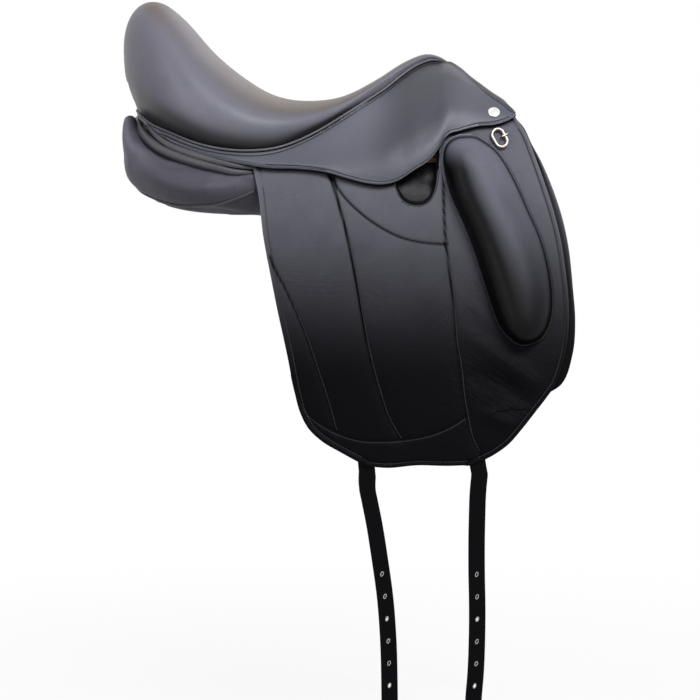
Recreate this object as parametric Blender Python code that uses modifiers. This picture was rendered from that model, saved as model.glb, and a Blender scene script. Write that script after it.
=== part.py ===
"""A monoflap dressage saddle, modelled as the separate pieces that it is made of.

Metres. +X points to the horse's head, +Y to the rider's left and +Z up. The origin is on the
saddle's middle plane, where the ridge of the rack or the horse's back carries the two panels.
Most shapes are worked out for the right side as (x, w, z), where w is the distance outwards from
the middle plane, and are then placed on either side.
"""

import math

import bmesh
import bpy
import numpy as np
from mathutils import Matrix, Vector

RIGHT, LEFT = -1, 1
SIDES = (("right", RIGHT), ("left", LEFT))

# Leather, steel and foam thicknesses, and the clearances between layers
TREE_THICKNESS = 0.009
COVER_LEATHER = 0.0016
SKIRT_LEATHER = 0.0032
FLAP_LEATHER = 0.0045
SWEAT_LEATHER = 0.0030
FACING_LEATHER = 0.0025
STRAP_LEATHER = 0.0034
LAYER_GAP = 0.0006
FOAM_GAP = 0.0009
FACET_GAP = 0.0021
SKIRT_PROUD = 0.009
FOLD_GAP = 0.0006
SKIRT_FOLD_GAP = 0.0014
AXIS_CLEARANCE = 0.0004
INSET = 0.0003
CUTTER_DEPTH = -0.05

# Girth straps
STRAP_WIDTH = 0.020
STRAP_END_Z = -0.673
STRAP_HINGE_Z = -0.3275
STRAP_TIP = 0.022
# How far along its rounded tip a strap is, and the share of its width that is left there
STRAP_TIP_SHAPE = ((0.35, 0.93), (0.7, 0.7), (0.92, 0.4), (1.0, 0.16))
# Heights in its rounded upper edge, as shares of half its thickness
STRAP_NOSE_SHAPE = (0.97, 0.75, 0.4)
STRAP_HOLES = 8
STRAP_HOLE_RADIUS = 0.0022
STRAP_HOLE_PITCH = 0.0275
STRAP_FIRST_HOLE = 0.032

# Stirrup bar, in its own frame: u fore and aft, v up, n out of the tree
BAR_PLATE_LENGTH = 0.068
BAR_PLATE_HEIGHT = 0.022
BAR_PLATE_THICKNESS = 0.003
BAR_GAP = 0.0085
BAR_DEPTH = 0.006
BAR_HEIGHT = 0.007
BAR_NECK = 0.009
CATCH_LENGTH = 0.016
CATCH_CLEARANCE = 0.0005
LAP_OVERRUN = 0.003
PIN_FROM_END = 0.008
PIN_RADIUS = 0.0013
PIN_CLEARANCE = 0.0003
RIVET_RADIUS = 0.0020
RIVET_HEAD_RADIUS = 0.0032
RIVET_HEAD_HEIGHT = 0.0015
RIVET_U, RIVET_V = 0.028, 0.0070
BAR_X = 0.073
# From the tree's outer edge in to the middle of the bar's plate
BAR_EDGE_DISTANCE = 0.0081

# Fittings
RING_LENGTH = 0.0275
RING_WIDTH = 0.0185
RING_WIRE = 0.0021
RING_X, RING_Z = 0.1855, 0.0795
RING_LEAN = math.radians(30)
RING_STAND_OFF = 0.0048
RING_END_STEPS = 9
STAPLE_WIRE = 0.0011
STAPLE_STEPS = 9
STUD_RADIUS = 0.0075
STUD_HEIGHT = 0.0028
STUD_STAND_OFF = 0.0007
STUD_X, STUD_Z = 0.1786, 0.1105
WELT_RADIUS = 0.0016
ROLL_RADIUS = 0.0046
ROLL_UPPER_SHARE = 0.84
ROLL_LOWER_SHARE = 1.20
ROLL_STATIONS = 17
BLOCK_HEIGHT = 0.042
BLOCK_FLANGE = 0.002


class Curve:
    """A smooth curve through rows (s, a, b, ...). Calling it at s gives (a, b, ...)."""

    def __init__(self, rows):
        data = np.array(rows, float)
        self.s = data[:, 0]
        self.values = data[:, 1:]
        self.slopes = np.gradient(self.values, self.s, axis=0)

    def __call__(self, s):
        s = min(max(s, self.s[0]), self.s[-1])
        i = min(max(int(np.searchsorted(self.s, s)) - 1, 0), len(self.s) - 2)
        h = self.s[i + 1] - self.s[i]
        t = (s - self.s[i]) / h
        found = (
            (2 * t**3 - 3 * t**2 + 1) * self.values[i]
            + (t**3 - 2 * t**2 + t) * h * self.slopes[i]
            + (3 * t**2 - 2 * t**3) * self.values[i + 1]
            + (t**3 - t**2) * h * self.slopes[i + 1]
        )
        return found if len(found) > 1 else float(found[0])


def path(points):
    """A smooth curve through points, run from 0 to 1 by length."""
    points = np.array(points, float)
    steps = np.linalg.norm(np.diff(points, axis=0), axis=1)
    along = np.concatenate([[0], np.cumsum(steps)]) / steps.sum()
    return Curve(np.column_stack([along, points]))


# The seat: x, then the height on the middle plane
SEAT_TOP = Curve((
    (-0.2905, 0.191), (-0.2883, 0.2125), (-0.2818, 0.2314), (-0.2702, 0.2459), (-0.2536, 0.2521),
    (-0.2383, 0.2490), (-0.2130, 0.2289), (-0.1749, 0.1860), (-0.1418, 0.1585), (-0.0991, 0.1335),
    (-0.0512, 0.1262), (-0.0051, 0.1338), (0.0339, 0.1541), (0.0728, 0.1780), (0.0970, 0.1850),
    (0.1110, 0.1820), (0.1180, 0.1760),
))
# x, half width and height at the widest point of the seat's roll
SEAT_ROLL = Curve((
    (-0.2905, 0.000, 0.191), (-0.2883, 0.030, 0.186), (-0.2800, 0.064, 0.174), (-0.2680, 0.090, 0.161),
    (-0.2550, 0.110, 0.149), (-0.2300, 0.137, 0.129), (-0.2000, 0.153, 0.112), (-0.1700, 0.160, 0.099),
    (-0.1300, 0.160, 0.090), (-0.0900, 0.150, 0.089), (-0.0500, 0.130, 0.096), (-0.0200, 0.108, 0.109),
    (0.0100, 0.087, 0.128), (0.0400, 0.068, 0.147), (0.0700, 0.052, 0.165), (0.0970, 0.035, 0.1765),
    (0.1110, 0.022, 0.1770), (0.1180, 0.000, 0.1740),
))
# x, half width and height of the seam that joins the seat to the skirts
SEAT_SEAM = Curve((
    (-0.2742, 0.006, 0.1165), (-0.2700, 0.034, 0.1130), (-0.2565, 0.070, 0.1033),
    (-0.2205, 0.120, 0.0878), (-0.1760, 0.145, 0.0720), (-0.1270, 0.151, 0.0659),
    (-0.0830, 0.141, 0.0707), (-0.0424, 0.117, 0.0878), (-0.0060, 0.092, 0.1100),
    (0.0450, 0.062, 0.1420), (0.0860, 0.039, 0.1640), (0.1050, 0.026, 0.1680), (0.1180, 0.010, 0.1690),
))
# The seat's back below its furthest point, on the middle plane: x, z
SEAT_BACK = Curve((
    (-0.2905, 0.1900), (-0.2898, 0.1680), (-0.2865, 0.1500), (-0.2820, 0.1340), (-0.2742, 0.1165),
))
SEAT_REAR_X, SEAT_FRONT_X = -0.2905, 0.1180
SEAT_STATIONS = (
    -0.2885, -0.2845, -0.2780, -0.2690, -0.2560, -0.2380, -0.2150, -0.1880, -0.1560, -0.1200, -0.0820,
    -0.0430, -0.0050, 0.0330, 0.0660, 0.0900, 0.1060, 0.1140,
)
# Its section: a superellipse of this power from the crown to the roll, then an arc under the roll
SEAT_POWER = 2.5
SEAT_TOP_STEPS = 7
SEAT_UNDER_STEPS = 3
SEAT_TUCK = math.radians(68)
# The welt under the seam, and the foam inside the cover
WELT_FRONT_X = 0.097
WELT_BACK_X = -0.2722
FOAM_FRONT_X = 0.104
FOAM_FLOOR = 0.003
FOAM_FLOOR_SHARES = (0.2, 0.5, 0.8)
FOAM_REAR_BULGE, FOAM_FRONT_BULGE = 0.0012, 0.0015

# The tree: x, height on the middle plane, half width and height of its edge
TREE = Curve((
    (-0.2620, 0.190, 0.030, 0.184), (-0.2500, 0.186, 0.062, 0.166), (-0.2150, 0.161, 0.108, 0.118),
    (-0.1800, 0.136, 0.128, 0.096), (-0.1300, 0.108, 0.134, 0.084), (-0.0800, 0.094, 0.126, 0.080),
    (-0.0300, 0.093, 0.116, 0.074), (0.0200, 0.106, 0.112, 0.062), (0.0700, 0.134, 0.113, 0.052),
    (0.1000, 0.146, 0.110, 0.050), (0.1300, 0.148, 0.098, 0.060), (0.1600, 0.138, 0.080, 0.088),
))
TREE_CROWN_POWER = 2.2
# Half of the tree's plan, from the head round the rail to the cantle: x, w
TREE_OUTER = path((
    (0.122, 0.000), (0.128, 0.022), (0.137, 0.042), (0.144, 0.062), (0.143, 0.080), (0.128, 0.097),
    (0.070, 0.112),
    (0.020, 0.111), (-0.030, 0.115), (-0.080, 0.125), (-0.130, 0.133), (-0.180, 0.127), (-0.215, 0.107),
    (-0.240, 0.078), (-0.255, 0.042), (-0.260, 0.000),
))
TREE_INNER = path((
    (0.066, 0.000), (0.063, 0.022), (0.052, 0.040), (0.020, 0.056), (-0.030, 0.070), (-0.080, 0.082),
    (-0.120, 0.088), (-0.160, 0.080), (-0.185, 0.062), (-0.200, 0.035), (-0.205, 0.000),
))
# How far the foam's cutter reaches back past the tree's leaning rear edge
TREE_REAR_LEAN = 0.0058
WEB_REAR_X, WEB_FRONT_X = -0.236, 0.092
WEB_HALF_WIDTH = 0.045
WEB_THICKNESS = 0.0020
WEB_GAP = 0.0022
# Steel plates across the tree: rear and front x, half width and thickness
HEAD_PLATE = (0.0965, 0.1180, 0.050, 0.0020)
GULLET_PLATE = (0.0960, 0.1200, 0.082, 0.0030)
CANTLE_PLATE = (-0.2380, -0.2160, 0.046, 0.0030)
PLATE_GAP = 0.0024

# The skirt's lower edge: x, z
SKIRT_LOW = Curve((
    (-0.2560, 0.0985), (-0.2422, 0.0878), (-0.2217, 0.0760), (-0.1920, 0.0650), (-0.1633, 0.0568),
    (-0.1232, 0.0478), (-0.0976, 0.0440), (-0.0611, 0.0428), (-0.0244, 0.0379), (0.0000, 0.0305),
    (0.0245, 0.0244), (0.0428, 0.0232), (0.0613, 0.0280), (0.0798, 0.0401), (0.0983, 0.0523),
    (0.1083, 0.0640), (0.1196, 0.0820), (0.1358, 0.0885), (0.1608, 0.0950), (0.1796, 0.0968),
    (0.1986, 0.1035), (0.2060, 0.1065),
))
# Its half width where it lies behind the flap: x, w
SKIRT_LOW_REAR = Curve((
    (-0.2560, 0.072), (-0.2422, 0.097), (-0.2217, 0.124), (-0.1920, 0.147), (-0.1633, 0.159),
    (-0.1232, 0.1655),
))
SKIRT_SWELL = Curve((
    (-0.2560, 0.00), (-0.1500, 0.05), (-0.0700, 0.25), (-0.0200, 0.45), (0.0200, 0.75),
    (0.0600, 0.95), (0.1000, 1.00), (0.1600, 0.45), (0.2060, 0.05),
))
SKIRT_REAR_X, SKIRT_FRONT_X = -0.2545, 0.2045
# The pommel's front edge, which the skirts end on: x, w, z
POMMEL_EDGE = Curve((
    (0.1060, 0.025, 0.1690), (0.1140, 0.023, 0.1735), (0.1230, 0.026, 0.1745), (0.1377, 0.037, 0.1665),
    (0.1485, 0.049, 0.1572), (0.1630, 0.061, 0.1460), (0.1761, 0.073, 0.1360), (0.1904, 0.085, 0.1262),
    (0.2010, 0.095, 0.1165), (0.2060, 0.100, 0.1110),
))
POMMEL_START_X = 0.1060
# The facing's inner edge, round the arch from the middle plane: x, w, z
FACING_INNER = path((
    (0.1360, 0.000, 0.1400), (0.1400, 0.018, 0.1370), (0.1480, 0.034, 0.1280), (0.1580, 0.046, 0.1160),
    (0.1700, 0.057, 0.1020), (0.1800, 0.065, 0.0900), (0.1860, 0.072, 0.0830),
))
FACING_END_X = 0.1900
FACING_SETBACK = 0.0020
FACING_ADVANCE = 0.0010
FACING_DROP = 0.0008
# The straight fold that the lifting part of each skirt turns on: x, z at its two ends
SKIRT_FOLD = ((-0.0700, 0.0500), (0.1120, 0.0810))

# The flap's outer surface: x, half width at FLAP_TOP_Z. It leans out to FLAP_FOOT_W
FLAP_TOP = Curve((
    (-0.1400, 0.152), (-0.0500, 0.145), (0.0500, 0.134), (0.1200, 0.125), (0.2000, 0.112), (0.2800, 0.104),
))
FLAP_TOP_Z = 0.060
FLAP_FOOT_W = 0.212
FLAP_LEAN_HEIGHT = 0.380
FLAP_ROUND = 0.35
FLAP_TOP_EDGE = path((
    (-0.1185, 0.0500), (-0.0600, 0.0490), (0.0000, 0.0420), (0.0500, 0.0400), (0.0900, 0.0580),
    (0.1250, 0.0920), (0.1500, 0.1010), (0.1800, 0.1060), (0.2030, 0.1090),
))
FLAP_REAR_EDGE = path((
    (-0.1185, 0.0500), (-0.1109, 0.0150), (-0.1034, -0.0431), (-0.0874, -0.1226), (-0.0739, -0.1826),
    (-0.0640, -0.2300), (-0.0472, -0.2700), (-0.0250, -0.2900), (0.0060, -0.3074), (0.0242, -0.3170),
))
FLAP_FOOT_EDGE = path((
    (0.0242, -0.3170), (0.0484, -0.3178), (0.0847, -0.3150), (0.1209, -0.3156), (0.1476, -0.3146),
))
FLAP_FRONT_EDGE = path((
    (0.2030, 0.1090), (0.2182, 0.0854), (0.2308, 0.0533), (0.2430, 0.0178), (0.2528, -0.0139),
    (0.2607, -0.0479), (0.2653, -0.0805), (0.2690, -0.1142), (0.2690, -0.1514), (0.2627, -0.1896),
    (0.2427, -0.2313), (0.2120, -0.2706), (0.1949, -0.2896), (0.1694, -0.3063), (0.1476, -0.3146),
))
FLAP_COLUMNS = 13
FLAP_ROWS = 16
# The cut-out in its top edge that leaves the stirrup bar clear: x, z down one side and up the other
FLAP_RECESS = (
    (0.0500, 0.0700), (0.0540, 0.0330), (0.0585, 0.0140), (0.0660, 0.0020), (0.0750, -0.0030),
    (0.0830, -0.0040), (0.0920, -0.0030), (0.1000, 0.0030), (0.1060, 0.0150), (0.1100, 0.0400),
    (0.1120, 0.1000),
)
SWEAT_RECESS = (
    (0.0480, 0.0700), (0.0560, 0.0360), (0.0610, 0.0180), (0.0680, 0.0070), (0.0760, 0.0025),
    (0.0830, 0.0015), (0.0910, 0.0025), (0.0980, 0.0080), (0.1035, 0.0190), (0.1070, 0.0420),
    (0.1090, 0.1000),
)
# The diagonal fold that the flap's free lower rear corner lifts on: x, z
FLAP_FOLD = ((-0.1160, 0.0150), (0.2300, -0.2490))

# The sweat flap under it shows past the flap in front
SWEAT_FRONT_EDGE = path((
    (0.2060, 0.1040), (0.2159, 0.0920), (0.2259, 0.0710), (0.2363, 0.0518), (0.2476, 0.0261),
    (0.2563, 0.0023), (0.2632, -0.0208), (0.2689, -0.0475), (0.2750, -0.1041), (0.2774, -0.1426),
    (0.2737, -0.1837), (0.2595, -0.2194), (0.2380, -0.2330), (0.2080, -0.2600), (0.1850, -0.2820),
    (0.1440, -0.2980),
))
SWEAT_REAR_EDGE = path((
    (-0.1080, 0.0460), (-0.1010, 0.0150), (-0.0934, -0.0431), (-0.0774, -0.1226), (-0.0639, -0.1826),
    (-0.0510, -0.2330), (-0.0330, -0.2640), (0.0000, -0.2860), (0.0260, -0.2980),
))
SWEAT_FOOT_EDGE = path(((0.0260, -0.2980), (0.0800, -0.3000), (0.1440, -0.2980)))
SWEAT_TOP_EDGE = path((
    (-0.1080, 0.0460), (-0.0400, 0.0500), (0.0200, 0.0420), (0.0700, 0.0440), (0.1000, 0.0600),
    (0.1300, 0.0800), (0.1600, 0.0920), (0.2060, 0.1040),
))
SWEAT_COLUMNS = 11
SWEAT_ROWS = 9
SWEAT_CARRIER_GAP = 0.0046

# The knee block's seam, from its top to its foot along the rear and along the front: x, z
BLOCK_REAR = path((
    (0.1460, 0.0845), (0.1233, 0.0790), (0.1140, 0.0682), (0.1122, 0.0535), (0.1146, 0.0364),
    (0.1227, 0.0072), (0.1360, -0.0220), (0.1504, -0.0572), (0.1624, -0.0934), (0.1731, -0.1259),
    (0.1820, -0.1487), (0.1935, -0.1631), (0.2056, -0.1716), (0.2145, -0.1730),
))
BLOCK_FRONT = path((
    (0.1460, 0.0845), (0.1538, 0.0841), (0.1687, 0.0767), (0.1836, 0.0651), (0.1963, 0.0472),
    (0.2107, 0.0197), (0.2226, -0.0078), (0.2357, -0.0369), (0.2450, -0.0684), (0.2502, -0.0997),
    (0.2507, -0.1286), (0.2462, -0.1489), (0.2374, -0.1633), (0.2227, -0.1716), (0.2145, -0.1730),
))
BLOCK_SECTIONS = 17
# Where its ridge runs between the two edges, and how round its ends and its section are
BLOCK_RIDGE = 0.40
BLOCK_END_POWER = 3.2
BLOCK_SIDE_POWER = 2.3
BLOCK_SIDE_ROUND = 0.6

# The panel's sections. x, then w and z of its inner top, outer top, widest point, lowest point
# and inner foot
PANEL = Curve((
    (-0.2820, 0.046, 0.098, 0.066, 0.093, 0.088, 0.066, 0.078, 0.050, 0.054, 0.058),
    (-0.2785, 0.040, 0.104, 0.069, 0.0935, 0.100, 0.062, 0.086, 0.042, 0.050, 0.054),
    (-0.2750, 0.038, 0.0955, 0.072, 0.0845, 0.107, 0.060, 0.091, 0.036, 0.047, 0.052),
    (-0.2680, 0.040, 0.082, 0.072, 0.0755, 0.114, 0.056, 0.098, 0.026, 0.042, 0.048),
    (-0.2480, 0.034, 0.084, 0.094, 0.0620, 0.137, 0.040, 0.112, 0.011, 0.034, 0.041),
    (-0.2200, 0.032, 0.084, 0.119, 0.0505, 0.155, 0.028, 0.122, -0.002, 0.031, 0.034),
    (-0.1900, 0.031, 0.082, 0.140, 0.0425, 0.162, 0.018, 0.127, -0.009, 0.030, 0.030),
    (-0.1550, 0.031, 0.081, 0.146, 0.0350, 0.158, 0.013, 0.130, -0.013, 0.030, 0.028),
    (-0.1150, 0.031, 0.079, 0.140, 0.040, 0.143, 0.006, 0.128, -0.012, 0.030, 0.029),
    (-0.0600, 0.031, 0.077, 0.128, 0.044, 0.137, 0.000, 0.124, -0.024, 0.030, 0.030),
    (0.0000, 0.032, 0.080, 0.120, 0.042, 0.134, -0.006, 0.124, -0.042, 0.031, 0.036),
    (0.0600, 0.034, 0.094, 0.112, 0.034, 0.128, -0.012, 0.124, -0.058, 0.034, 0.050),
    (0.1100, 0.038, 0.108, 0.106, 0.036, 0.121, -0.018, 0.122, -0.070, 0.040, 0.068),
    (0.1550, 0.050, 0.104, 0.096, 0.054, 0.113, -0.012, 0.119, -0.066, 0.055, 0.066),
    (0.1900, 0.066, 0.082, 0.094, 0.050, 0.111, -0.004, 0.112, -0.046, 0.072, 0.040),
    (0.2100, 0.082, 0.044, 0.096, 0.034, 0.104, 0.006, 0.101, -0.018, 0.086, 0.012),
))
PANEL_REAR_POLE = (-0.2851, 0.064, 0.074)
PANEL_FRONT_POLE = (0.2160, 0.094, 0.014)
# How far each section rises between its two top corners
PANEL_RISE = Curve((
    (-0.2800, 0.002), (-0.2480, 0.004), (-0.2200, 0.018), (-0.1700, 0.030), (-0.1150, 0.028),
    (-0.0600, 0.020), (0.0000, 0.018), (0.0600, 0.016), (0.1100, 0.012), (0.1500, 0.006), (0.2100, 0.003),
))
PANEL_CROWN = 0.004
PANEL_DRAWN_IN = 0.003
PANEL_AROUND = 18
PANEL_STATIONS = (
    -0.2825, -0.2785, -0.2740, -0.2670, -0.2550, -0.2380, -0.2180, -0.1950, -0.1700, -0.1430, -0.1150,
    -0.0800, -0.0400, 0.0000, 0.0400, 0.0800, 0.1150, 0.1480, 0.1750, 0.1950, 0.2080,
)
# What a panel keeps clear of the tree, with more at the tree's waist and below the gullet plate
PANEL_GAP = 0.0013
WAIST_EXTRA = 0.0011
WAIST_ZONE = (-0.010, 0.070)
GULLET_ZONE_X = 0.085
PANEL_REACH = 0.010

# The two rolled strips round the cantle, from beside the flap to the middle plane: x, w, z
ROLL_UPPER = (
    (-0.1245, 0.1580, 0.0436), (-0.1390, 0.1585, 0.0462), (-0.1633, 0.1560, 0.0518),
    (-0.1920, 0.1460, 0.0596), (-0.2217, 0.1220, 0.0706), (-0.2410, 0.0940, 0.0830),
    (-0.2520, 0.0660, 0.0938), (-0.2590, 0.0320, 0.1010), (-0.2600, 0.0000, 0.1030),
)
ROLL_LOWER = (
    (-0.1250, 0.1530, 0.0372), (-0.1400, 0.1560, 0.0386), (-0.1594, 0.1550, 0.0430),
    (-0.1840, 0.1490, 0.0492), (-0.2091, 0.1360, 0.0562), (-0.2320, 0.1150, 0.0648),
    (-0.2520, 0.0880, 0.0778), (-0.2650, 0.0580, 0.0910), (-0.2705, 0.0280, 0.1000),
    (-0.2720, 0.0000, 0.1025),
)
ROLL_END_SHARE = 0.62
ROLL_TAPER = 0.455

# Girth straps: x and z where each hidden part starts and ends, and either side's hanging line as z, x
STRAPS = {
    "front": {
        "top": (0.0985, -0.0080),
        "foot": (0.1600, -0.3255),
        "right": (
            (-0.3275, 0.1600), (-0.3450, 0.1584), (-0.3817, 0.1572), (-0.4544, 0.1572), (-0.4786, 0.1578),
            (-0.5271, 0.1578), (-0.5756, 0.1560), (-0.5938, 0.1545), (-0.6730, 0.1515),
        ),
        "left": (
            (-0.3275, 0.1600), (-0.3500, 0.1660), (-0.3742, 0.1704), (-0.4042, 0.1690), (-0.4460, 0.1676),
            (-0.5287, 0.1676), (-0.5563, 0.1683), (-0.6115, 0.1683), (-0.6730, 0.1661),
        ),
    },
    "rear": {
        "top": (-0.0040, 0.0000),
        "foot": (0.0240, -0.3255),
        "right": (
            (-0.3275, 0.0245), (-0.3450, 0.0243), (-0.3574, 0.0267), (-0.3817, 0.0316), (-0.4301, 0.0394),
            (-0.4786, 0.0460), (-0.5271, 0.0497), (-0.5938, 0.0515), (-0.6730, 0.0515),
        ),
        "left": (
            (-0.3275, 0.0245), (-0.3500, 0.0195), (-0.3742, 0.0150), (-0.3990, 0.0145), (-0.4183, 0.0183),
            (-0.4460, 0.0245), (-0.5010, 0.0336), (-0.5563, 0.0411), (-0.6115, 0.0454), (-0.6730, 0.0469),
        ),
    },
}


def material(name, colour, roughness, metallic=0.0):
    made = bpy.data.materials.new(name)
    made.use_nodes = True
    shader = made.node_tree.nodes["Principled BSDF"]
    shader.inputs["Base Color"].default_value = (*colour, 1.0)
    shader.inputs["Roughness"].default_value = roughness
    shader.inputs["Metallic"].default_value = metallic
    made.diffuse_color = (*colour, 1.0)
    return made


def clear_scene():
    for old in list(bpy.data.objects):
        bpy.data.objects.remove(old, do_unlink=True)


def pivot(obj, point):
    """Moves an object's origin to a point on its joint's axis, and leaves its shape in place."""
    point = Vector(point)
    obj.data.transform(Matrix.Translation(-point))
    obj.location = point


def keep(obj, look):
    """Puts an object in the saddle's collection with its material."""
    saddle.objects.link(obj)
    obj.data.materials.clear()
    obj.data.materials.append(look)
    return obj


def mesh_object(name, points, faces, look):
    mesh = bpy.data.meshes.new(name)
    mesh.from_pydata([tuple(p) for p in points], [], faces)
    mesh.validate()
    mesh.shade_smooth()
    return keep(bpy.data.objects.new(name, mesh), look)


def placed(points, side):
    """Points (x, w, z) as world points on that side."""
    points = np.array(points, float)
    points[..., 1] *= side
    return points


def grid_faces(rows, columns, closed=False, flipped=False):
    """Quads over points that run row by row. A closed grid's last row joins its first."""
    faces = []
    for r in range(rows if closed else rows - 1):
        below = (r + 1) % rows
        for c in range(columns - 1):
            quad = (r * columns + c, below * columns + c, below * columns + c + 1, r * columns + c + 1)
            faces.append(quad[::-1] if flipped else quad)
    return faces


def solidified(obj, thickness):
    """Gives an open surface its thickness, on the side that its normals point away from."""
    solid = obj.modifiers.new("thickness", "SOLIDIFY")
    solid.thickness = thickness
    solid.offset = -1.0
    return obj


def sheet(name, grid, thickness, look, flipped=False, closed=False):
    """A leather sheet over a grid of points, with its thickness under it."""
    rows, columns = grid.shape[:2]
    faces = grid_faces(rows, columns, closed, flipped)
    return solidified(mesh_object(name, grid.reshape(-1, 3), faces, look), thickness)


def loft(name, rings, look, start, end):
    """A closed body through closed rings, ended at a pole before the first and after the last."""
    rings = np.array(rings, float)
    count, around = rings.shape[:2]
    points = [*rings.reshape(-1, 3), start, end]
    faces = []
    for r in range(count - 1):
        for c in range(around):
            n = (c + 1) % around
            faces.append((r * around + c, r * around + n, (r + 1) * around + n, (r + 1) * around + c))
    first, last = count * around, count * around + 1
    for c in range(around):
        n = (c + 1) % around
        faces.append((first, n, c))
        faces.append((last, (count - 1) * around + c, (count - 1) * around + n))
    obj = mesh_object(name, points, faces, look)
    face_out(obj)
    return obj


def merged(obj):
    """Joins the points of an object that lie in one place."""
    work = bmesh.new()
    work.from_mesh(obj.data)
    bmesh.ops.remove_doubles(work, verts=work.verts, dist=1e-6)
    work.to_mesh(obj.data)
    work.free()


def face_out(obj):
    """Turns a closed body's faces outwards."""
    work = bmesh.new()
    work.from_mesh(obj.data)
    bmesh.ops.recalc_face_normals(work, faces=work.faces)
    if work.calc_volume(signed=True) < 0:
        bmesh.ops.reverse_faces(work, faces=work.faces)
    work.to_mesh(obj.data)
    work.free()


def tube(name, points, radius, look, radii=None, cyclic=False, resolution=1):
    """A round tube along points."""
    curve = bpy.data.curves.new(name, "CURVE")
    curve.dimensions = "3D"
    curve.bevel_depth = radius
    curve.bevel_resolution = resolution
    curve.use_fill_caps = not cyclic
    spline = curve.splines.new("POLY")
    spline.points.add(len(points) - 1)
    for i, point in enumerate(points):
        spline.points[i].co = (*point, 1.0)
        spline.points[i].radius = 1.0 if radii is None else radii[i]
    spline.use_cyclic_u = cyclic
    return keep(bpy.data.objects.new(name, curve), look)


def baked(obj):
    """Replaces an object's data with its evaluated mesh, so that it can be cut."""
    graph = bpy.context.evaluated_depsgraph_get()
    mesh = bpy.data.meshes.new_from_object(obj.evaluated_get(graph))
    work = bmesh.new()
    work.from_mesh(mesh)
    bmesh.ops.remove_doubles(work, verts=work.verts, dist=1e-6)
    work.to_mesh(mesh)
    work.free()
    obj.modifiers.clear()
    obj.data = mesh
    return obj


def box(low, high):
    """A box mesh between two corners."""
    work = bmesh.new()
    bmesh.ops.create_cube(work, size=1.0)
    low, high = Vector(low), Vector(high)
    size = high - low
    for vertex in work.verts:
        vertex.co = Vector([c * s for c, s in zip(vertex.co, size)]) + (low + high) / 2
    return work


def cylinder(radius, low, high, centre=(0.0, 0.0), segments=16):
    """A cylinder mesh along local Z, from low to high."""
    work = bmesh.new()
    bmesh.ops.create_cone(
        work, cap_ends=True, segments=segments, radius1=radius, radius2=radius, depth=high - low
    )
    bmesh.ops.translate(work, verts=work.verts, vec=(*centre, (low + high) / 2))
    return work


def shape_object(name, work, look, place=None):
    mesh = bpy.data.meshes.new(name)
    if place is not None:
        bmesh.ops.transform(work, verts=work.verts, matrix=place)
        if place.determinant() < 0:
            bmesh.ops.reverse_faces(work, faces=work.faces)
    work.to_mesh(mesh)
    work.free()
    obj = bpy.data.objects.new(name, mesh)
    return keep(obj, look) if look is not None else tool(obj)


def tool(obj):
    """A cutter or a shape to be joined: it isn't part of the saddle."""
    tools.objects.link(obj)
    obj.hide_render = True
    obj.display_type = "WIRE"
    return obj


def boolean(obj, other, operation):
    change = obj.modifiers.new(operation.lower(), "BOOLEAN")
    change.object = other
    change.operation = operation
    return obj


def tree_height(x, w):
    """The top of the tree."""
    middle, half_width, edge = TREE(x)
    return middle - (middle - edge) * min(w / half_width, 1.15) ** TREE_CROWN_POWER


def tree_normal(x, w):
    step = 0.001
    along = (tree_height(x + step, w) - tree_height(x - step, w)) / (2 * step)
    inner = max(w - step, 0.0)
    across = (tree_height(x, w + step) - tree_height(x, inner)) / (w + step - inner)
    normal = np.array([-along, -across if w > 0 else 0.0, 1.0])
    return normal / np.linalg.norm(normal)


def on_tree(x, w, offset=0.0):
    """A point on the tree's top surface, or that far above it."""
    return np.array([x, w, tree_height(x, w)]) + offset * tree_normal(x, w)


def flap_half_width(x, z):
    """How far out the flap's outer surface lies."""
    drop = (FLAP_TOP_Z - z) / FLAP_LEAN_HEIGHT
    top = FLAP_TOP(x)
    return top + (FLAP_FOOT_W - top) * ((1 + FLAP_ROUND) * drop - FLAP_ROUND * drop * drop)


def on_flap(x, z, inwards=0.0):
    return np.array([x, flap_half_width(x, z) - inwards, z])


def seam_point(x):
    """The seat's seam at x, as (w, z), straight between the seat's stations."""
    stations = [station for station in SEAT_STATIONS if station > SEAT_SEAM.s[0]]
    seams = np.array([SEAT_SEAM(station) for station in stations])
    return np.array([np.interp(x, stations, seams[:, 0]), np.interp(x, stations, seams[:, 1])])


def skirt_edges(x):
    """The skirt's top and lower edges at x, each as (w, z), and how far it swells between them."""
    if x > POMMEL_START_X:
        top = POMMEL_EDGE(x)
    else:
        top = seam_point(x)
    low_z = min(SKIRT_LOW(x), top[1] - 0.0045)
    beside_flap = flap_half_width(x, low_z) + SKIRT_PROUD
    share = min(max((x + 0.15) / 0.03, 0.0), 1.0)
    low_w = (1 - share) * SKIRT_LOW_REAR(x) + share * beside_flap
    low = np.array([low_w, low_z])
    swell = SKIRT_SWELL(x)
    towards = np.array([(low_w - top[0]) * (1 + swell), low_z - top[1]])
    towards = towards / np.linalg.norm(towards) + np.array([0.0, -1.0])
    return top, low, swell, towards / np.linalg.norm(towards)


def on_skirt(x, share):
    """A point on the skirt's outer surface: share 0 is its top edge and 1 its lower edge."""
    top, low, swell, towards = skirt_edges(x)
    past_welt = min(max((x - WELT_FRONT_X - 0.004) / 0.014, 0.0), 1.0)
    start = top + towards * 2 * (WELT_RADIUS + LAYER_GAP) * (1 - past_welt)
    w = start[0] + (low[0] - start[0]) * (share + swell * share * (1 - share))
    z = start[1] + (low[1] - start[1]) * share
    return np.array([x, w, z])


def skirt_share(x, z):
    """The share at which the skirt reaches height z."""
    top, low = on_skirt(x, 0.0), on_skirt(x, 1.0)
    return (top[2] - z) / (top[2] - low[2])


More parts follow.
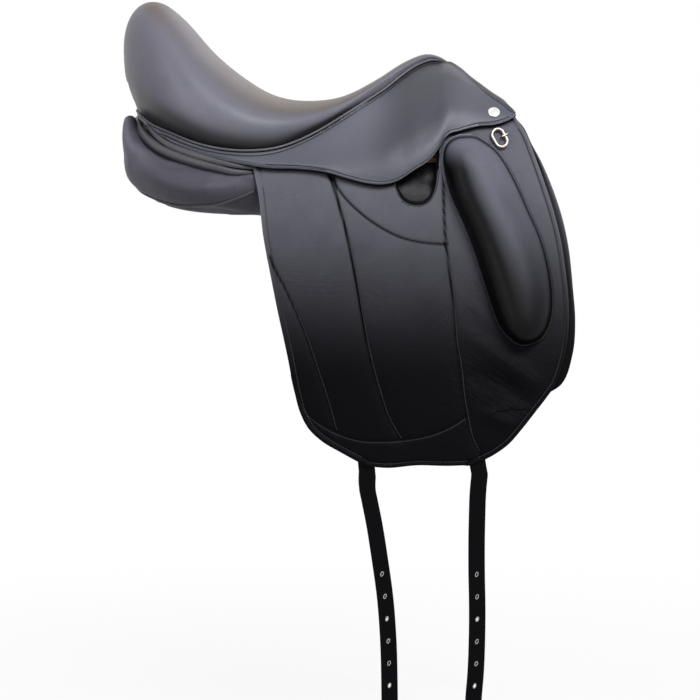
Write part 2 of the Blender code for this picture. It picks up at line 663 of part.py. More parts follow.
def skirt_axis(side):
    """The skirt's fold: a point on its axis, just outside its outer surface, and the axis's direction."""
    (x0, z0), (x1, z1) = SKIRT_FOLD
    ends = [on_skirt(x, skirt_share(x, z)) for x, z in ((x0, z0), (x1, z1))]
    direction = ends[1] - ends[0]
    outermost = 0.0
    for share in np.linspace(0, 1, 21):
        chord = ends[0] + direction * share
        surface = on_skirt(chord[0], skirt_share(chord[0], chord[2]))
        outermost = max(outermost, surface[1] - chord[1])
    middle = (ends[0] + ends[1]) / 2 + np.array([0.0, outermost + AXIS_CLEARANCE, 0.0])
    direction = direction / np.linalg.norm(direction)
    return middle * np.array([1, side, 1]), direction * np.array([1, side, 1]) * side


def flap_axis(side):
    """The flap's diagonal fold: a point on its axis and the axis's direction."""
    (x0, z0), (x1, z1) = FLAP_FOLD
    ends = [on_flap(x0, z0), on_flap(x1, z1)]
    direction = (ends[1] - ends[0]) / np.linalg.norm(ends[1] - ends[0])
    middle = (ends[0] + ends[1]) / 2 + np.array([0.0, AXIS_CLEARANCE, 0.0])
    return middle * np.array([1, side, 1]), direction * np.array([1, side, 1]) * side


def fold_height(fold, x):
    (x0, z0), (x1, z1) = fold
    return z0 + (z1 - z0) * (x - x0) / (x1 - x0)


def coons(top, foot, rear, front, columns, rows):
    """Points (x, z) over the patch between four edges. Each edge runs from 0 to 1."""
    corner = (top(0.0), top(1.0), foot(0.0), foot(1.0))
    found = []
    for u in columns:
        line = []
        for v in rows:
            across = (1 - v) * top(u) + v * foot(u)
            down = (1 - u) * rear(v) + u * front(v)
            rear_corners = (1 - v) * corner[0] + v * corner[2]
            front_corners = (1 - v) * corner[1] + v * corner[3]
            line.append(across + down - (1 - u) * rear_corners - u * front_corners)
        found.append(line)
    return np.array(found)


def superellipse(top, side, power, steps):
    """Points (w, z) from the crown (0, top z) to the side (w, z), rounder for a power near 2."""
    found = []
    for angle in np.linspace(0, math.pi / 2, steps):
        w = side[0] * math.sin(angle) ** (2 / power)
        z = side[1] + (top - side[1]) * max(math.cos(angle), 0.0) ** (2 / power)
        found.append((w, z))
    return found


def seat_section(x):
    """Half of the seat's covered section at x, from the crown down to the seam, as (w, z)."""
    top = SEAT_TOP(x)
    roll_w, roll_z = SEAT_ROLL(x)
    seam_w, seam_z = SEAT_SEAM(x)
    if x < SEAT_SEAM.s[0]:
        seam_w, seam_z = 0.0, SEAT_BACK(x)
    section = superellipse(top, (roll_w, roll_z), SEAT_POWER, SEAT_TOP_STEPS)
    for step in range(1, SEAT_UNDER_STEPS + 1):
        angle = step / SEAT_UNDER_STEPS * SEAT_TUCK
        out = (math.cos(angle) - math.cos(SEAT_TUCK)) / (1 - math.cos(SEAT_TUCK))
        w = seam_w + (roll_w - seam_w) * out
        z = roll_z + (seam_z - roll_z) * math.sin(angle) / math.sin(SEAT_TUCK)
        section.append((max(w, 0.0), z))
    return section


def seat_grid():
    """The seat's outer surface: rows from rear to front, each from the right seam to the left one."""
    rings = []
    for x in SEAT_STATIONS:
        half = seat_section(x)
        both = [(-w, z) for w, z in half[:0:-1]] + half
        rings.append([(x, w, z) for w, z in both])
    return np.array(rings)


def build_seat():
    """The seat's leather cover, its foam and the welt between it and the skirts."""
    rings = seat_grid()
    count, across = rings.shape[:2]
    rear_pole = (SEAT_REAR_X, 0.0, SEAT_TOP(SEAT_REAR_X))
    front_pole = (SEAT_FRONT_X, 0.0, SEAT_TOP(SEAT_FRONT_X))
    points = [*rings.reshape(-1, 3), rear_pole, front_pole]
    faces = grid_faces(count, across)
    last = (count - 1) * across
    for c in range(across - 1):
        faces.append((len(points) - 2, c, c + 1))
        faces.append((len(points) - 1, last + c + 1, last + c))
    cover = mesh_object("seat_cover", points, faces, black_leather)
    merged(cover)
    solidified(cover, COVER_LEATHER)

    welt = []
    stations = [WELT_FRONT_X, *(x for x in SEAT_STATIONS[::-1] if SEAT_SEAM.s[0] < x < WELT_FRONT_X)]
    for x in stations:
        top, _, _, towards = skirt_edges(x)
        centre = top + towards * (WELT_RADIUS + LAYER_GAP)
        welt.append((x, centre[0], centre[1]))
    right = placed(welt, RIGHT)
    back = [(WELT_BACK_X, 0.0, SEAT_SEAM(-0.2742)[1] - WELT_RADIUS - 2 * LAYER_GAP)]
    left = placed(welt[::-1], LEFT)
    tube("seat_welt", [*right, *back, *left], WELT_RADIUS, black_leather)


def drawn_in(grid, distance):
    """A grid of surface points moved inwards along the surface's normals."""
    rows, columns = grid.shape[:2]
    found = grid.copy()
    for r in range(rows):
        for c in range(columns):
            along = grid[min(r + 1, rows - 1)][c] - grid[max(r - 1, 0)][c]
            across = grid[r][min(c + 1, columns - 1)] - grid[r][max(c - 1, 0)]
            normal = np.cross(along, across)
            length = np.linalg.norm(normal)
            if length > 0:
                found[r][c] -= distance * normal / length
    return found


def build_foam():
    """The foam inside the cover: the cover's shape drawn in along its normals, cut to the tree."""
    inner = drawn_in(seat_grid(), COVER_LEATHER + FOAM_GAP)
    middle = inner.shape[1] // 2
    rings = []
    for row in inner:
        if row[middle][0] > FOAM_FRONT_X:
            break
        ring = [*row[1:-1]]
        floor = [ring[-1] + (ring[0] - ring[-1]) * share for share in FOAM_FLOOR_SHARES]
        rings.append(ring + [point + np.array([0, 0, FOAM_FLOOR]) for point in floor])
    ends = ring_pole(rings[0], -FOAM_REAR_BULGE), ring_pole(rings[-1], FOAM_FRONT_BULGE)
    body = loft("seat_foam", rings, foam, *ends)
    rows = []
    rear = TREE_OUTER(1.0)[0] - TREE_REAR_LEAN
    for x in np.linspace(rear, TREE_OUTER(0.0)[0] + 0.03, 22):
        reach = max(outer_half_width(x), outer_half_width(x + TREE_REAR_LEAN)) + 2 * FACET_GAP
        rows.append([(x, w, tree_height(x, abs(w)) + FACET_GAP) for w in np.linspace(-reach, reach, 13)])
    boolean(body, under_cutter("foam_seat_on_tree", rows), "DIFFERENCE")
    rows = []
    for x in np.linspace(WEB_REAR_X - FACET_GAP, WEB_FRONT_X + FACET_GAP, 13):
        reach = WEB_HALF_WIDTH + FACET_GAP
        rise = WEB_THICKNESS + WEB_GAP + FOAM_GAP
        rows.append([(x, w, tree_height(x, abs(w)) + rise) for w in np.linspace(-reach, reach, 5)])
    boolean(body, under_cutter("foam_seat_on_webbing", rows), "DIFFERENCE")


def ring_pole(ring, ahead):
    ring = np.array(ring)
    return (ring[:, 0].mean() + ahead, 0.0, ring[:, 2].mean())


def under_cutter(name, rows):
    """A cutter that takes away everything below a grid of points."""
    top = np.array(rows)
    under = top.copy()
    under[..., 2] = CUTTER_DEPTH
    cutter = slab_object(name, top, under, foam)
    saddle.objects.unlink(cutter)
    return tool(cutter)


def build_tree():
    """The laminated tree, the webbing in its middle and its steel plates."""
    steps, across = 24, 5
    half = []
    for i in range(steps + 1):
        outer, inner = TREE_OUTER(i / steps), TREE_INNER(i / steps)
        half.append([on_tree(*(outer + (inner - outer) * c / (across - 1))) for c in range(across)])
    mirrored = [[point * np.array([1, -1, 1]) for point in row] for row in half[-2:0:-1]]
    tree = sheet("tree_frame", np.array(half + mirrored), TREE_THICKNESS, tree_wood, closed=True)

    rows = []
    for x in np.linspace(WEB_REAR_X, WEB_FRONT_X, 13):
        across = np.linspace(-WEB_HALF_WIDTH, WEB_HALF_WIDTH, 5)
        rows.append([(x, w, tree_height(x, abs(w)) + WEB_GAP + WEB_THICKNESS) for w in across])
    sheet("seat_webbing", np.array(rows), WEB_THICKNESS, webbing)

    build_plate("head_plate", HEAD_PLATE, LAYER_GAP + HEAD_PLATE[-1])
    build_plate("gullet_plate", GULLET_PLATE, -TREE_THICKNESS - PLATE_GAP)
    build_plate("cantle_plate", CANTLE_PLATE, -TREE_THICKNESS - 2 * LAYER_GAP)
    return tree


def build_plate(name, plate, offset):
    """A steel strap across the tree, with its top that far above the tree's top surface."""
    rear, front, half_width, thickness = plate
    rows = []
    for x in np.linspace(rear, front, 3):
        row = []
        for w in np.linspace(-half_width, half_width, 15):
            point = on_tree(x, abs(w), offset)
            row.append((point[0], math.copysign(point[1], w), point[2]))
        rows.append(row)
    sheet(name, np.array(rows), thickness, steel)


def outer_half_width(x):
    """Half the width of the tree's plan at x."""
    found = [TREE_OUTER(share) for share in np.linspace(0, 1, 300)]
    x = min(max(x, found[-1][0] + 0.0004), found[0][0] - 0.0004)
    before = [point for point in found if point[0] <= x]
    return max(point[1] for point in found if abs(point[0] - x) <= abs(before[0][0] - x) + 0.0015)


def bar_frame(side):
    """Where a stirrup bar's plate lies flat on the tree's side: local X fore, Y up, Z out of the tree."""
    bar_w = outer_half_width(BAR_X) - BAR_EDGE_DISTANCE
    normal = tree_normal(BAR_X, bar_w)
    fore = np.array([1.0, 0.0, 0.0]) - normal[0] * normal
    fore /= np.linalg.norm(fore)
    up = np.cross(normal, fore)
    centre = on_tree(BAR_X, bar_w)
    highest = 0.0
    for u in np.linspace(-BAR_PLATE_LENGTH / 2, BAR_PLATE_LENGTH / 2, 9):
        for v in np.linspace(-BAR_PLATE_HEIGHT / 2, BAR_PLATE_HEIGHT / 2, 5):
            at = centre + u * fore + v * up
            highest = max(highest, (tree_height(at[0], at[1]) - at[2]) * normal[2])
    centre = centre + (highest + LAYER_GAP) * normal
    if up[2] < 0:
        up = -up
    out = np.array(normal)
    columns = [fore, up, out, centre]
    matrix = Matrix.Identity(4)
    for c, column in enumerate(columns):
        for r in range(3):
            matrix[r][c] = float(column[r]) * (side if r == 1 else 1)
    return matrix


def stadium(centre, far, radius):
    """An outline with a half-round end about (centre, 0), run straight to far."""
    away = -1 if far > centre else 1
    turns = np.linspace(-math.pi / 2, math.pi / 2, 9)
    found = [(centre + away * radius * math.cos(t), radius * math.sin(t)) for t in turns]
    return [*found, (far, radius), (far, -radius)]


def extruded(outline, low, high, axis):
    """A prism mesh. Its outline is in X and Y for axis Z, and in X and Z for axis Y."""
    work = bmesh.new()
    rings = []
    for level in (low, high):
        ring = [(a, b, level) if axis == "Z" else (a, level, b) for a, b in outline]
        rings.append([work.verts.new(point) for point in ring])
    near, far = rings
    work.faces.new(near)
    work.faces.new(far[::-1])
    for i in range(len(near)):
        n = (i + 1) % len(near)
        work.faces.new((near[n], near[i], far[i], far[n]))
    bmesh.ops.recalc_face_normals(work, faces=work.faces)
    return work


def build_bars(tree):
    """Each stirrup bar with its hinged catch, the catch's pin and two rivets through the tree."""
    bar_low = BAR_PLATE_THICKNESS + BAR_GAP
    bar_high = bar_low + BAR_DEPTH
    middle = (bar_low + bar_high) / 2
    half_u, half_v, half_b = BAR_PLATE_LENGTH / 2, BAR_PLATE_HEIGHT / 2, BAR_HEIGHT / 2
    pin_u = -half_u + PIN_FROM_END
    clear = CATCH_CLEARANCE
    for word, side in SIDES:
        place = bar_frame(side)
        plate = box((-half_u, -half_v, 0), (half_u, half_v, BAR_PLATE_THICKNESS))
        bar = shape_object(f"stirrup_bar_{word}", plate, steel, place)
        shoulder = pin_u + half_b + clear
        front, inset = half_u - INSET, BAR_PLATE_THICKNESS / 2
        profile = (
            (front, inset), (front, bar_high), (shoulder, bar_high), (shoulder, bar_low),
            (front - BAR_NECK, bar_low), (front - BAR_NECK, inset),
        )
        tongue = stadium(pin_u, shoulder + LAP_OVERRUN, half_b - INSET)
        hook = extruded(profile, -half_b, half_b, "Y")
        lap = extruded(tongue, bar_low + INSET, middle - clear / 2, "Z")
        boolean(bar, shape_object(f"bar_hook_{word}", hook, None, place), "UNION")
        boolean(bar, shape_object(f"bar_lap_{word}", lap, None, place), "UNION")
        tail = pin_u - half_b - clear
        thumb = box((pin_u - CATCH_LENGTH, -half_b, bar_low), (tail, half_b, bar_high))
        catch = shape_object(f"bar_catch_{word}", thumb, steel, place)
        tongue = stadium(pin_u, tail - LAP_OVERRUN, half_b - INSET)
        lap = extruded(tongue, middle + clear / 2, bar_high - INSET, "Z")
        boolean(catch, shape_object(f"catch_lap_{word}", lap, None, place), "UNION")
        low, high = bar_low - PIN_RADIUS, bar_high + PIN_RADIUS
        bore = cylinder(PIN_RADIUS + PIN_CLEARANCE, low, high, (pin_u, 0), 12)
        cutter = shape_object(f"pin_bore_{word}", bore, None, place)
        boolean(bar, cutter, "DIFFERENCE")
        boolean(catch, cutter, "DIFFERENCE")
        pivot(catch, place @ Vector((pin_u, 0.0, middle)))
        pin = cylinder(PIN_RADIUS, bar_low, bar_high + INSET, (pin_u, 0), 12)
        shape_object(f"catch_pin_{word}", pin, steel, place)
        for end, rivet_u in (("front", RIVET_U), ("rear", -RIVET_U)):
            centre = (rivet_u, RIVET_V)
            hole = cylinder(RIVET_RADIUS + PIN_CLEARANCE, -3 * TREE_THICKNESS, BAR_GAP, centre, 10)
            cutter = shape_object(f"rivet_bore_{end}_{word}", hole, None, place)
            boolean(bar, cutter, "DIFFERENCE")
            boolean(tree, cutter, "DIFFERENCE")
            top = BAR_PLATE_THICKNESS + PIN_CLEARANCE
            shank = cylinder(RIVET_RADIUS, -TREE_THICKNESS, top + RIVET_HEAD_HEIGHT / 2, centre, 10)
            rivet = shape_object(f"bar_rivet_{end}_{word}", shank, steel, place)
            head = cylinder(RIVET_HEAD_RADIUS, top, top + RIVET_HEAD_HEIGHT, centre, 10)
            boolean(rivet, shape_object(f"rivet_head_{end}_{word}", head, None, place), "UNION")


def skirt_stations(start, end):
    """Stations from start to end, with all of the seat's stations between them and their midpoints."""
    inside = [start, *(x for x in SEAT_STATIONS if start + 0.004 < x < end - 0.004), end]
    middles = [(a + b) / 2 for a, b in zip(inside, inside[1:])]
    return sorted(inside + middles)


def build_skirts():
    """Each skirt, in the part that is sewn down and the part that lifts off the stirrup bar."""
    (x0, _), (x1, _) = SKIRT_FOLD
    half = SKIRT_FOLD_GAP / 2
    stations = [
        *skirt_stations(SKIRT_REAR_X, x0 - half), *skirt_stations(x0 + half, x1 - half),
        *np.linspace(x1 + half, SKIRT_FRONT_X, 9),
    ]
    lobe_stations = skirt_stations(x0 + 3 * half, x1 - 3 * half)
    for word, side in SIDES:
        grid = []
        for x in stations:
            last = 1.0
            if x0 <= x <= x1:
                last = skirt_share(x, fold_height(SKIRT_FOLD, x) + half)
            grid.append([on_skirt(x, last * s) for s in np.linspace(0, 1, 5)])
        sheet(f"skirt_{word}", placed(grid, side), SKIRT_LEATHER, black_leather, flipped=side == RIGHT)
        grid = []
        for x in lobe_stations:
            first = skirt_share(x, fold_height(SKIRT_FOLD, x) - half)
            grid.append([on_skirt(x, first + (1 - first) * s) for s in np.linspace(0, 1, 4)])
        grid = placed(grid, side)
        lobe = sheet(f"skirt_lobe_{word}", grid, SKIRT_LEATHER, black_leather, flipped=side == RIGHT)
        pivot(lobe, skirt_axis(side)[0])


def build_flaps():
    """Each flap, cut along its diagonal fold, and the sweat flap under it."""
    outline = (FLAP_TOP_EDGE, FLAP_FOOT_EDGE, FLAP_REAR_EDGE, FLAP_FRONT_EDGE)
    flat = coons(*outline, np.linspace(0, 1, FLAP_COLUMNS), np.linspace(0, 1, FLAP_ROWS))
    under = (SWEAT_TOP_EDGE, SWEAT_FOOT_EDGE, SWEAT_REAR_EDGE, SWEAT_FRONT_EDGE)
    sweat = coons(*under, np.linspace(0, 1, SWEAT_COLUMNS), np.linspace(0, 1, SWEAT_ROWS))
    depth = FLAP_LEATHER + SWEAT_CARRIER_GAP
    (x0, z0), (x1, z1) = FLAP_FOLD
    across = Vector((z0 - z1, 0.0, x1 - x0)).normalized()
    for word, side in SIDES:
        grid = placed([[on_flap(x, z) for x, z in line] for line in flat], side)
        for name, towards in ((f"flap_{word}", 1), (f"flap_corner_{word}", -1)):
            half = sheet(name, grid, FLAP_LEATHER, black_leather, flipped=side == RIGHT)
            baked(half)
            keep_one_side(half, Vector((x0, 0.0, z0)) + across * towards * FOLD_GAP / 2, across * towards)
            if towards > 0:
                boolean(half, prism(f"flap_recess_{word}", FLAP_RECESS, side), "DIFFERENCE")
            else:
                pivot(half, flap_axis(side)[0])
        grid = placed([[on_flap(x, z, depth) for x, z in line] for line in sweat], side)
        under = sheet(f"sweat_flap_{word}", grid, SWEAT_LEATHER, black_leather, flipped=side == RIGHT)
        boolean(under, prism(f"sweat_recess_{word}", SWEAT_RECESS, side), "DIFFERENCE")


def prism(name, outline, side):
    """A cutter with an outline in side view, right through one side of the saddle."""
    near = [(x, 0.0, z) for x, z in outline]
    far = [(x, FLAP_FOOT_W + BLOCK_HEIGHT, z) for x, z in outline]
    points = [*placed(near, side), *placed(far, side)]
    count = len(outline)
    faces = [tuple(range(count)), tuple(range(2 * count - 1, count - 1, -1))]
    for i in range(count):
        n = (i + 1) % count
        faces.append((i, n, n + count, i + count))
    cutter = mesh_object(name, points, faces, foam)
    face_out(cutter)
    saddle.objects.unlink(cutter)
    return tool(cutter)


def keep_one_side(obj, point, normal):
    """Cuts a body along a plane, keeps the side that the normal points to and closes the cut."""
    work = bmesh.new()
    work.from_mesh(obj.data)
    everything = [*work.verts, *work.edges, *work.faces]
    bmesh.ops.bisect_plane(work, geom=everything, plane_co=point, plane_no=normal, clear_inner=True)
    rim = [edge for edge in work.edges if edge.is_boundary]
    bmesh.ops.contextual_create(work, geom=rim)
    bmesh.ops.recalc_face_normals(work, faces=work.faces)
    work.to_mesh(obj.data)
    work.free()
    obj.data.set_sharp_from_angle(angle=math.radians(40))


def build_blocks():
    """The knee blocks: foam under leather, on the flaps' outer faces."""
    stations = [0.5 - 0.5 * math.cos(math.pi * i / BLOCK_SECTIONS) for i in range(1, BLOCK_SECTIONS)]
    foot_depth, flange = -LAYER_GAP, -LAYER_GAP - BLOCK_FLANGE
    for word, side in SIDES:
        rings = []
        for s in stations:
            rear, front = BLOCK_REAR(s), BLOCK_FRONT(s)
            height = BLOCK_HEIGHT * (1 - abs(2 * s - 1) ** BLOCK_END_POWER) ** 0.5
            ring = []
            for c in np.linspace(0, 1, 11):
                away = (BLOCK_RIDGE - c) / BLOCK_RIDGE
                if c > BLOCK_RIDGE:
                    away = (c - BLOCK_RIDGE) / (1 - BLOCK_RIDGE)
                rise = height * max(1 - away**BLOCK_SIDE_POWER, 0.0) ** BLOCK_SIDE_ROUND
                ring.append(on_flap(*(rear + (front - rear) * c), flange - rise))
            for c in np.linspace(1, 0, 6):
                ring.append(on_flap(*(rear + (front - rear) * c), foot_depth))
            rings.append(placed(ring, side))
        ends = [on_flap(*BLOCK_REAR(s), (foot_depth + flange) / 2) for s in (0.0, 1.0)]
        loft(f"knee_block_{word}", rings, black_leather, *placed(ends, side))


def closed_curve(points, count):
    """A smooth closed curve through points, as count points."""
    points = np.array(points, float)
    wrapped = np.vstack([points[-2:], points, points[:3]])
    steps = np.linalg.norm(np.diff(wrapped, axis=0), axis=1)
    along = np.concatenate([[0], np.cumsum(steps)])
    curve = Curve(np.column_stack([along, wrapped]))
    start, end = along[2], along[2 + len(points)]
    return [curve(start + (end - start) * i / count) for i in range(count)]


def panel_section(x):
    """The closed section of the right panel at x, as (w, z) points from its inner top outwards."""
    row = PANEL(x)
    inner_top, outer_top, widest, lowest, inner_foot = row.reshape(5, 2)
    top_middle = (inner_top + outer_top) / 2
    top_middle[1] += PANEL_RISE(x)
    foot_middle = (lowest + inner_foot) / 2
    foot_middle[1] -= PANEL_CROWN
    inside = (inner_top + inner_foot) / 2 - np.array([PANEL_DRAWN_IN, 0.0])
    return [inner_top, top_middle, outer_top, widest, lowest, foot_middle, inner_foot, inside]


def under_tree(x, w):
    """The highest that a panel may rise below the tree and its plates."""
    thickness = TREE_THICKNESS + PANEL_GAP
    if WAIST_ZONE[0] < x < WAIST_ZONE[1]:
        thickness += WAIST_EXTRA
    if x > GULLET_ZONE_X:
        thickness += GULLET_PLATE[-1] + PLATE_GAP
    return tree_height(x, w) - thickness / tree_normal(x, w)[2]


def build_panels():
    """The two flocked panels."""
    for word, side in SIDES:
        rings = []
        for x in PANEL_STATIONS:
            ring = []
            for w, z in closed_curve(panel_section(x), PANEL_AROUND):
                if w < outer_half_width(x) + PANEL_REACH:
                    z = min(z, under_tree(x, w))
                ring.append((x, w, z))
            rings.append(placed(ring, side))
        ends = placed([PANEL_REAR_POLE, PANEL_FRONT_POLE], side)
        loft(f"panel_{word}", rings, black_leather, *ends)


def build_rolls():
    """The two rolled leather strips round the cantle, between the seat and the panels."""
    rolls = (
        ("cantle_roll_upper", ROLL_UPPER, ROLL_UPPER_SHARE),
        ("cantle_roll_lower", ROLL_LOWER, ROLL_LOWER_SHARE),
    )
    steps = np.linspace(0, 1, ROLL_STATIONS)
    for name, half, share in rolls:
        line = path(half)
        right = [line(s) for s in steps]
        radii = [share * (ROLL_END_SHARE + (1 - ROLL_END_SHARE) * min(1.0, s / ROLL_TAPER)) for s in steps]
        points = [*placed(right, RIGHT), *placed(right[-2::-1], LEFT)]
        tube(name, points, ROLL_RADIUS, black_leather, radii + radii[-2::-1])


def build_pommel():
    """The facing over the front of the head and the two studs."""
    half = []
    for s in np.linspace(0, 1, 9):
        x = POMMEL_START_X + (FACING_END_X - POMMEL_START_X) * s
        w, z = POMMEL_EDGE(x)
        edge_w = (w - FACING_SETBACK) * min(1.0, s * 8)
        edge = np.array([x + FACING_ADVANCE, edge_w, z - SKIRT_LEATHER - FACING_DROP])
        inner = np.array(FACING_INNER(s))
        half.append([edge + (inner - edge) * c for c in (0.0, 0.35, 0.7, 1.0)])
    half[0] = [np.array([x, 0.0, z]) for x, w, z in half[0]]
    rows = [*placed(half[::-1], RIGHT), *placed(half[1:], LEFT)]
    sheet("pommel_facing", np.array(rows), FACING_LEATHER, black_leather)
    for word, side in SIDES:
        share = skirt_share(STUD_X, STUD_Z)
        at = on_skirt(STUD_X, share)
        step = 0.002
        along = on_skirt(STUD_X + step, skirt_share(STUD_X + step, STUD_Z)) - at
        down = on_skirt(STUD_X, share + 0.02) - at
        normal = Vector(np.cross(along, down)).normalized()
        if normal.y < 0:
            normal = -normal
        centre = Vector(at) + normal * STUD_STAND_OFF
        normal.y *= side
        centre.y *= side
        turn = normal.to_track_quat("Z", "Y").to_matrix().to_4x4()
        shape = bmesh.new()
        bmesh.ops.create_uvsphere(shape, u_segments=16, v_segments=10, radius=STUD_RADIUS)
        below = [vertex for vertex in shape.verts if vertex.co.z < -1e-6]
        bmesh.ops.delete(shape, geom=below, context="VERTS")
        rim = [edge for edge in shape.edges if edge.is_boundary]
        bmesh.ops.contextual_create(shape, geom=rim)
        for vertex in shape.verts:
            vertex.co.z *= STUD_HEIGHT / STUD_RADIUS
        stud = shape_object(f"pommel_stud_{word}", shape, nickel, Matrix.Translation(centre) @ turn)
        face_out(stud)


def build_rings():
    """The dee rings and the staples that hold them to the flaps."""
    lean = np.array([math.sin(RING_LEAN), 0.0, -math.cos(RING_LEAN)])
    across = np.array([math.cos(RING_LEAN), 0.0, math.sin(RING_LEAN)])
    straight = (RING_LENGTH - RING_WIDTH) / 2
    bend = RING_WIDTH / 2 - RING_WIRE
    step = 0.004
    base = on_flap(RING_X, RING_Z)
    slope_x = (flap_half_width(RING_X + step, RING_Z) - base[1]) / step
    slope_z = (flap_half_width(RING_X, RING_Z + step) - base[1]) / step

    def lifted(point, height):
        rise = slope_x * (point[0] - RING_X) + slope_z * (point[2] - RING_Z)
        return np.array([point[0], base[1] + rise + height, point[2]])

    def seated(point):
        return on_flap(point[0], point[2], -(LAYER_GAP + STAPLE_WIRE / 3))

    centre = np.array([RING_X, 0.0, RING_Z])
    outline = []
    for end in (1, -1):
        for turn in np.linspace(0, math.pi, RING_END_STEPS):
            along = lean * end * (straight + bend * math.sin(turn))
            point = centre + along + across * end * bend * math.cos(turn)
            outline.append(lifted(point, RING_STAND_OFF))
    hinge = centre + across * bend
    reach = RING_WIRE + STAPLE_WIRE + 2 * PIN_CLEARANCE
    loop = [seated(hinge - across * reach)]
    for angle in np.linspace(0, math.pi, STAPLE_STEPS):
        at = hinge - across * reach * math.cos(angle)
        loop.append(lifted(at, RING_STAND_OFF + reach * math.sin(angle)))
    loop.append(seated(hinge + across * reach))
    for word, side in SIDES:
        ring = tube(f"dee_ring_{word}", placed(outline, side), RING_WIRE, nickel, cyclic=True)
        pivot(ring, placed(lifted(hinge, RING_STAND_OFF), side))
        tube(f"dee_staple_{word}", placed(loop, side), STAPLE_WIRE, nickel)


def strap_slab(rows, side):
    """A body through rows of (x, z, middle half width w, thickness)."""
    half = STRAP_WIDTH / 2
    outer, inner = [], []
    for x, z, w, thickness, width_share in rows:
        line = [(x + half * width_share * c, z) for c in (-1, 0, 1)]
        outer.append([(a, w + thickness / 2, b) for a, b in line])
        inner.append([(a, w - thickness / 2, b) for a, b in line])
    return placed(outer, side), placed(inner, side)


def slab_object(name, outer, inner, look):
    """A closed body between two grids of the same size."""
    rows, columns = outer.shape[:2]
    points = np.vstack([outer.reshape(-1, 3), inner.reshape(-1, 3)])
    shift = rows * columns
    faces = grid_faces(rows, columns) + [
        tuple(i + shift for i in face) for face in grid_faces(rows, columns, flipped=True)
    ]
    rim = list(range(columns))
    rim += [r * columns + columns - 1 for r in range(1, rows)]
    rim += [(rows - 1) * columns + c for c in range(columns - 2, -1, -1)]
    rim += [r * columns for r in range(rows - 2, 0, -1)]
    for a, b in zip(rim, rim[1:] + rim[:1]):
        faces.append((a, b, b + shift, a + shift))
    obj = mesh_object(name, points, faces, look)
    face_out(obj)
    return obj


def build_straps():
    """The four girth straps: the part between the flaps and the part that hangs free."""
    deep = FLAP_LEATHER + LAYER_GAP
    for place, strap in STRAPS.items():
        (top_x, top_z), (foot_x, foot_z) = strap["top"], strap["foot"]
        hang_w = flap_half_width(foot_x, foot_z) - deep - STRAP_LEATHER / 2
        for word, side in SIDES:
            line = Curve(sorted((-z, x) for z, x in strap[word]))
            outer, inner = [], []
            for s in np.linspace(0, 1, 13):
                x, z = top_x + (foot_x - top_x) * s, top_z + (foot_z - top_z) * s
                edges = [x + STRAP_WIDTH / 2 * c for c in (-1, 0, 1)]
                outer.append([on_flap(a, z, deep) for a in edges])
                inner.append([on_flap(a, z, deep + STRAP_LEATHER) for a in edges])
            slab_object(
                f"girth_strap_{place}_{word}_upper", placed(outer, side), placed(inner, side), black_leather
            )
            rows = []
            nose = STRAP_LEATHER / 2
            for rise in STRAP_NOSE_SHAPE:
                depth = 2 * nose * math.sqrt(1 - rise**2)
                rows.append((line(-STRAP_HINGE_Z), STRAP_HINGE_Z + nose * rise, hang_w, depth, 1.0))
            for z in np.linspace(STRAP_HINGE_Z, STRAP_END_Z + STRAP_TIP, 12):
                rows.append((line(-z), z, hang_w, STRAP_LEATHER, 1.0))
            for share, width in STRAP_TIP_SHAPE:
                z = STRAP_END_Z + STRAP_TIP * (1 - share)
                rows.append((line(-z), z, hang_w, STRAP_LEATHER, width))
            body = slab_object(f"girth_strap_{place}_{word}", *strap_slab(rows, side), black_leather)
            pivot(body, (line(-STRAP_HINGE_Z), side * hang_w, STRAP_HINGE_Z))
            for hole in range(STRAP_HOLES):
                z = STRAP_END_Z + STRAP_FIRST_HOLE + STRAP_HOLE_PITCH * hole
                drill = cylinder(STRAP_HOLE_RADIUS, -STRAP_WIDTH, STRAP_WIDTH, segments=6)
                turn = Matrix.Rotation(math.pi / 2, 4, "X")
                where = Matrix.Translation((line(-z), side * hang_w, z))
                punch = shape_object(f"punch_{place}_{hole}_{word}", drill, None, where @ turn)
                boolean(body, punch, "DIFFERENCE")


clear_scene()
saddle = bpy.data.collections.new("dressage_saddle")
tools = bpy.data.collections.new("cutters")
bpy.context.scene.collection.children.link(saddle)
bpy.context.scene.collection.children.link(tools)

black_leather = material("black_leather", (0.030, 0.030, 0.034), 0.42)
foam = material("seat_foam", (0.62, 0.58, 0.42), 0.9)
tree_wood = material("tree_laminate", (0.45, 0.30, 0.16), 0.6)
webbing = material("webbing", (0.55, 0.50, 0.40), 0.85)
steel = material("steel", (0.56, 0.55, 0.54), 0.34, 1.0)
nickel = material("nickel", (0.72, 0.70, 0.66), 0.2, 1.0)

build_seat()
build_foam()
tree_object = build_tree()
build_bars(tree_object)
build_skirts()
build_flaps()
build_blocks()
build_panels()
build_rolls()
build_pommel()
build_rings()
build_straps()
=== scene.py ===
"""The looks of a monoflap dressage saddle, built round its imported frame.

Metres, in the frame's axes: +X to the horse's head, +Y to the rider's left and +Z up. Most shapes
are worked out once as (x, w, z), with w the distance outwards from the middle plane, and are then
placed on either side.
"""

import math

import bmesh
import bpy
import numpy as np
from mathutils import Matrix, Vector
from mathutils.bvhtree import BVHTree


